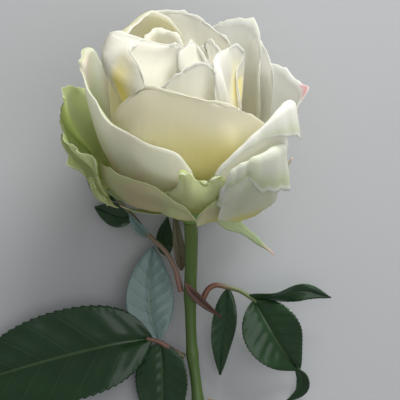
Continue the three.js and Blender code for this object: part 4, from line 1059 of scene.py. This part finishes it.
LEAVES = {
    # the big one that lies out to the left
    "leaf_lower_left": dict(
        stalk=[[-2.3, -66.9, 8.4], [-7, -64.2, 8.2], [-12, -61, 8.8], [-17, -59.6, 9.2]],
        stalk_radius=1,
        bark=[(0, (0.12, 0.15, 0.05)), (0.4, (0.20, 0.09, 0.07)), (1, (0.24, 0.11, 0.085))],
        leaflets=[
            dict(midrib=[[-14.8, -59.6, 9.1], [-31, -62.2, 10], [-54, -68, 6], [-74, -74, 2.2],
                         [-83, -77, 0.4]],
                 half_width=18, teeth=10, wave=1, roll=(4, 0)),
            # this leaflet shows the pale blue-green on top: partly its underside colour, partly painted
            # reflection of light on the gloss
            dict(midrib=[[-12.6, -60.4, 8.8], [-15.4, -48.5, 9], [-15.6, -36, 8], [-14.4, -24, 6]],
                 half_width=9.3, fold=8, roll=(0, 8), turned=True),
            dict(midrib=[[-11.5, -61.2, 8.6], [-11, -72, 6.8], [-11, -85, 4.2], [-12, -98, 1]],
                 half_width=10.5, fold=6, roll=(12, 14)),
        ],
    ),
    # the one that runs up behind the bloom
    "leaf_upper_left": dict(
        stalk=[[-3.6, -41.4, 13.4], [-4.8, -36.5, 14], [-6.2, -32, 13.6], [-9.9, -25.7, 12.6],
               [-16.5, -19.4, 11.6], [-22.5, -12, 10.8], [-29, -5.5, 10]],
        stalk_radius=0.95,
        bark=[(0, (0.30, 0.13, 0.12)), (0.4, (0.26, 0.17, 0.13)), (1, (0.16, 0.19, 0.09))],
        leaflets=[
            dict(midrib=[[-15.8, -20.2, 11], [-20, -16.6, 13], [-23.4, -11.6, 14]],
                 half_width=2.6, fold=35, teeth=4, wave=0.2, roll=(-10, -20), turned=True),
            dict(midrib=[[-22, -12.4, 10.5], [-27, -12.6, 9.5], [-32, -11, 8], [-37, -9, 6]],
                 half_width=4.6, teeth=5, wave=0.3),
            dict(midrib=[[-27, -7.2, 10.2], [-32, -2, 9.6], [-36, 3.5, 8.6], [-39, 9.5, 7.4]],
                 half_width=5.5, teeth=6, wave=0.4),
            dict(midrib=[[-8.6, -28, 12.8], [-9.8, -23.6, 9.4], [-9.8, -18.5, 7.6], [-8.8, -13, 6.8]],
                 half_width=3.4, teeth=4, wave=0.3),
        ],
    ),
    "leaf_right": dict(
        stalk=[[4, -46.3, 12.6], [5.2, -43.5, 13], [7, -40.4, 13.2], [10, -39, 13.2], [14, -39.8, 12.8],
               [19.4, -41.4, 12.2], [25.5, -45.6, 11.6]],
        stalk_radius=1,
        bark=[(0, (0.16, 0.05, 0.03)), (0.55, (0.20, 0.07, 0.04)), (0.8, (0.12, 0.20, 0.05)),
              (1, (0.10, 0.20, 0.04))],
        leaflets=[
            dict(midrib=[[14.4, -40.2, 12.2], [13.4, -51, 9.4], [12, -62, 6.4], [11.5, -74, 3.6]],
                 half_width=4.8, teeth=6, wave=0.4),
            dict(midrib=[[24.5, -44.8, 11.8], [29.8, -54.5, 12.2], [35.5, -64, 9], [42, -72.5, 4.6]],
                 half_width=11.4, fold=14, wave=0.9),
            dict(midrib=[[41, -71.2, 5.2], [43.6, -75.6, 4.2], [42.8, -80.4, 2.2], [37.6, -84.5, 0.3]],
                 half_width=2.7, teeth=3, wave=0.3, roll=(40, -20)),
            dict(midrib=[[22.5, -43.4, 12], [33, -43, 13], [43.5, -41.2, 14], [54, -43.8, 12.4]],
                 half_width=4.2, teeth=5, wave=0.9, roll=(75, 10)),
        ],
    ),
}
STALK_STREAK = (0.13, 0.075, 0.045)
STALK_RINGS = 12  # rings between two of its points


def make_leaves():
    blades = [leaf_finish("leaf"), leaf_finish("leaf pale blue on top", pale_blue_on_top=True)]
    for name, leaf in LEAVES.items():
        shape = Shape()
        for given in leaf["leaflets"]:
            given = dict(given)
            # a turned leaflet shows the pale blue-green on top; on the lower left leaf that is partly painted
            # reflection of light on its gloss
            turned = given.pop("turned", False)
            shape.add_sheet(leaflet_surface(**given), LEAF_THICKNESS, 1 if turned else 0)
        rings = STALK_RINGS * (len(leaf["stalk"]) - 1)
        radius = leaf["stalk_radius"]
        shape.add_tube(leaf["stalk"], rings, STALK_SIDES, lambda _, t: radius * (1.25 - 0.5 * t), finish=2)
        bark = stalk_finish(name + " stalk", leaf["bark"], STALK_STREAK)
        shape.piece(name + "_blades", [*blades, bark], "leaf", name)


# The two narrow bracts where the upper leaves leave the stem, and the bud lower down
BRACTS = {
    "bract_red": dict(
        blade=dict(midrib=[[-1.9, -38.2, 17.8], [1, -42, 17.1], [6, -46.8, 15.8], [12, -51.4, 13]],
                   half_width=1.8, fold=20, teeth=4, wave=0.1),
        bark=[(0, (0.20, 0.08, 0.05)), (0.3, (0.07, 0.018, 0.012)), (1, (0.04, 0.012, 0.008))],
    ),
    "bract_brown": dict(
        blade=dict(midrib=[[-3.4, -33.4, 11], [-3.8, -28, 11.4], [-5, -20, 12.2], [-6.2, -8, 12.6]],
                   half_width=2.4, fold=15, teeth=4, wave=0.3),
        bark=[(0, (0.16, 0.10, 0.05)), (0.5, (0.13, 0.13, 0.06)), (1, (0.12, 0.15, 0.07))],
    ),
}
BRACT_STREAK = (0.08, 0.035, 0.02)
BUD_LINE = [[5.9, -85.2, 7], [8, -84.6, 7.4], [10.4, -84.8, 7]]
BUD_RADIUS = 1.5
BUD_STRETCH = (0.18, 0.78)  # where along half a turn of a sine its outline starts, and how much it takes up
BUD_RINGS = 24
BUD_SIDES = 20
BUD_SCALES = [(0, (0.30, 0.20, 0.06)), (1, (0.42, 0.17, 0.04))]
BUD_STREAK = (0.18, 0.07, 0.03)


def make_bracts():
    for name, bract in BRACTS.items():
        shape = Shape()
        shape.add_sheet(leaflet_surface(**bract["blade"]), LEAF_THICKNESS)
        bark = stalk_finish(name, bract["bark"], BRACT_STREAK)
        shape.piece(name + "_blade", [bark], "bract", name)


def make_side_bud():
    start, stretch = BUD_STRETCH
    shape = Shape()
    shape.add_tube(BUD_LINE, BUD_RINGS, BUD_SIDES,
                   lambda _, t: BUD_RADIUS * np.sin(math.pi * (start + stretch * t)))
    scales = stalk_finish("bud scales", BUD_SCALES, BUD_STREAK)
    shape.piece("side_bud_scales", [scales], "bract", "side_bud")


# Floor, camera and light
CAMERA_HEIGHT = 1050
CAMERA_LENS = 243  # millimetres, on a sensor 36 wide: the photograph's width is 148 mm of the bloom's level
CAMERA_PLACE = (3.7, -6.3)  # from the bloom's base
CAMERA_REACH = 20  # metres
FLOOR_SIZE = 4000
# name, place and size in metres, watts and colour
LIGHTS = [
    ("key", (0.34, 0.85, 0.38), 0.5, 12, (1.0, 0.99, 0.97)),
    ("fill", (0.30, 0.05, 0.95), 0.9, 3, (0.95, 0.97, 1.0)),
]
SKY_COLOUR = (0.90, 0.90, 0.88, 1)
SKY_STRENGTH = 0.32


def make_floor():
    half = FLOOR_SIZE / 2 * MILLIMETRE
    mesh = bpy.data.meshes.new("floor")
    corners = [(-half, -half, 0), (half, -half, 0), (half, half, 0), (-half, half, 0)]
    mesh.from_pydata(corners, [], [(0, 1, 2, 3)])
    mesh.materials.append(floor_finish())
    floor = add_object("floor", mesh)


def make_camera():
    data = bpy.data.cameras.new("camera")
    data.lens = CAMERA_LENS
    data.clip_end = CAMERA_REACH
    camera = add_object("camera", data)
    camera.location = (np.array([*CAMERA_PLACE, CAMERA_HEIGHT]) + ROSE_MIDDLE) * MILLIMETRE
    bpy.context.scene.camera = camera


def make_lights():
    for name, place, size, watts, colour in LIGHTS:
        data = bpy.data.lights.new(name, "AREA")
        data.size = size
        data.energy = watts
        data.color = colour
        light = add_object(name, data)
        light.location = place
        light.rotation_euler = (-light.location).to_track_quat("-Z", "Y").to_euler()
    world = bpy.data.worlds.new("studio")
    bpy.context.scene.world = world
    world.use_nodes = True
    sky = world.node_tree.nodes["Background"]
    sky.inputs["Color"].default_value = SKY_COLOUR
    sky.inputs["Strength"].default_value = SKY_STRENGTH
    bpy.context.scene.view_settings.view_transform = "Standard"


make_floor()
make_camera()
make_lights()
make_petals()
make_stem()
make_calyx()
make_leaves()
make_bracts()
make_side_bud()
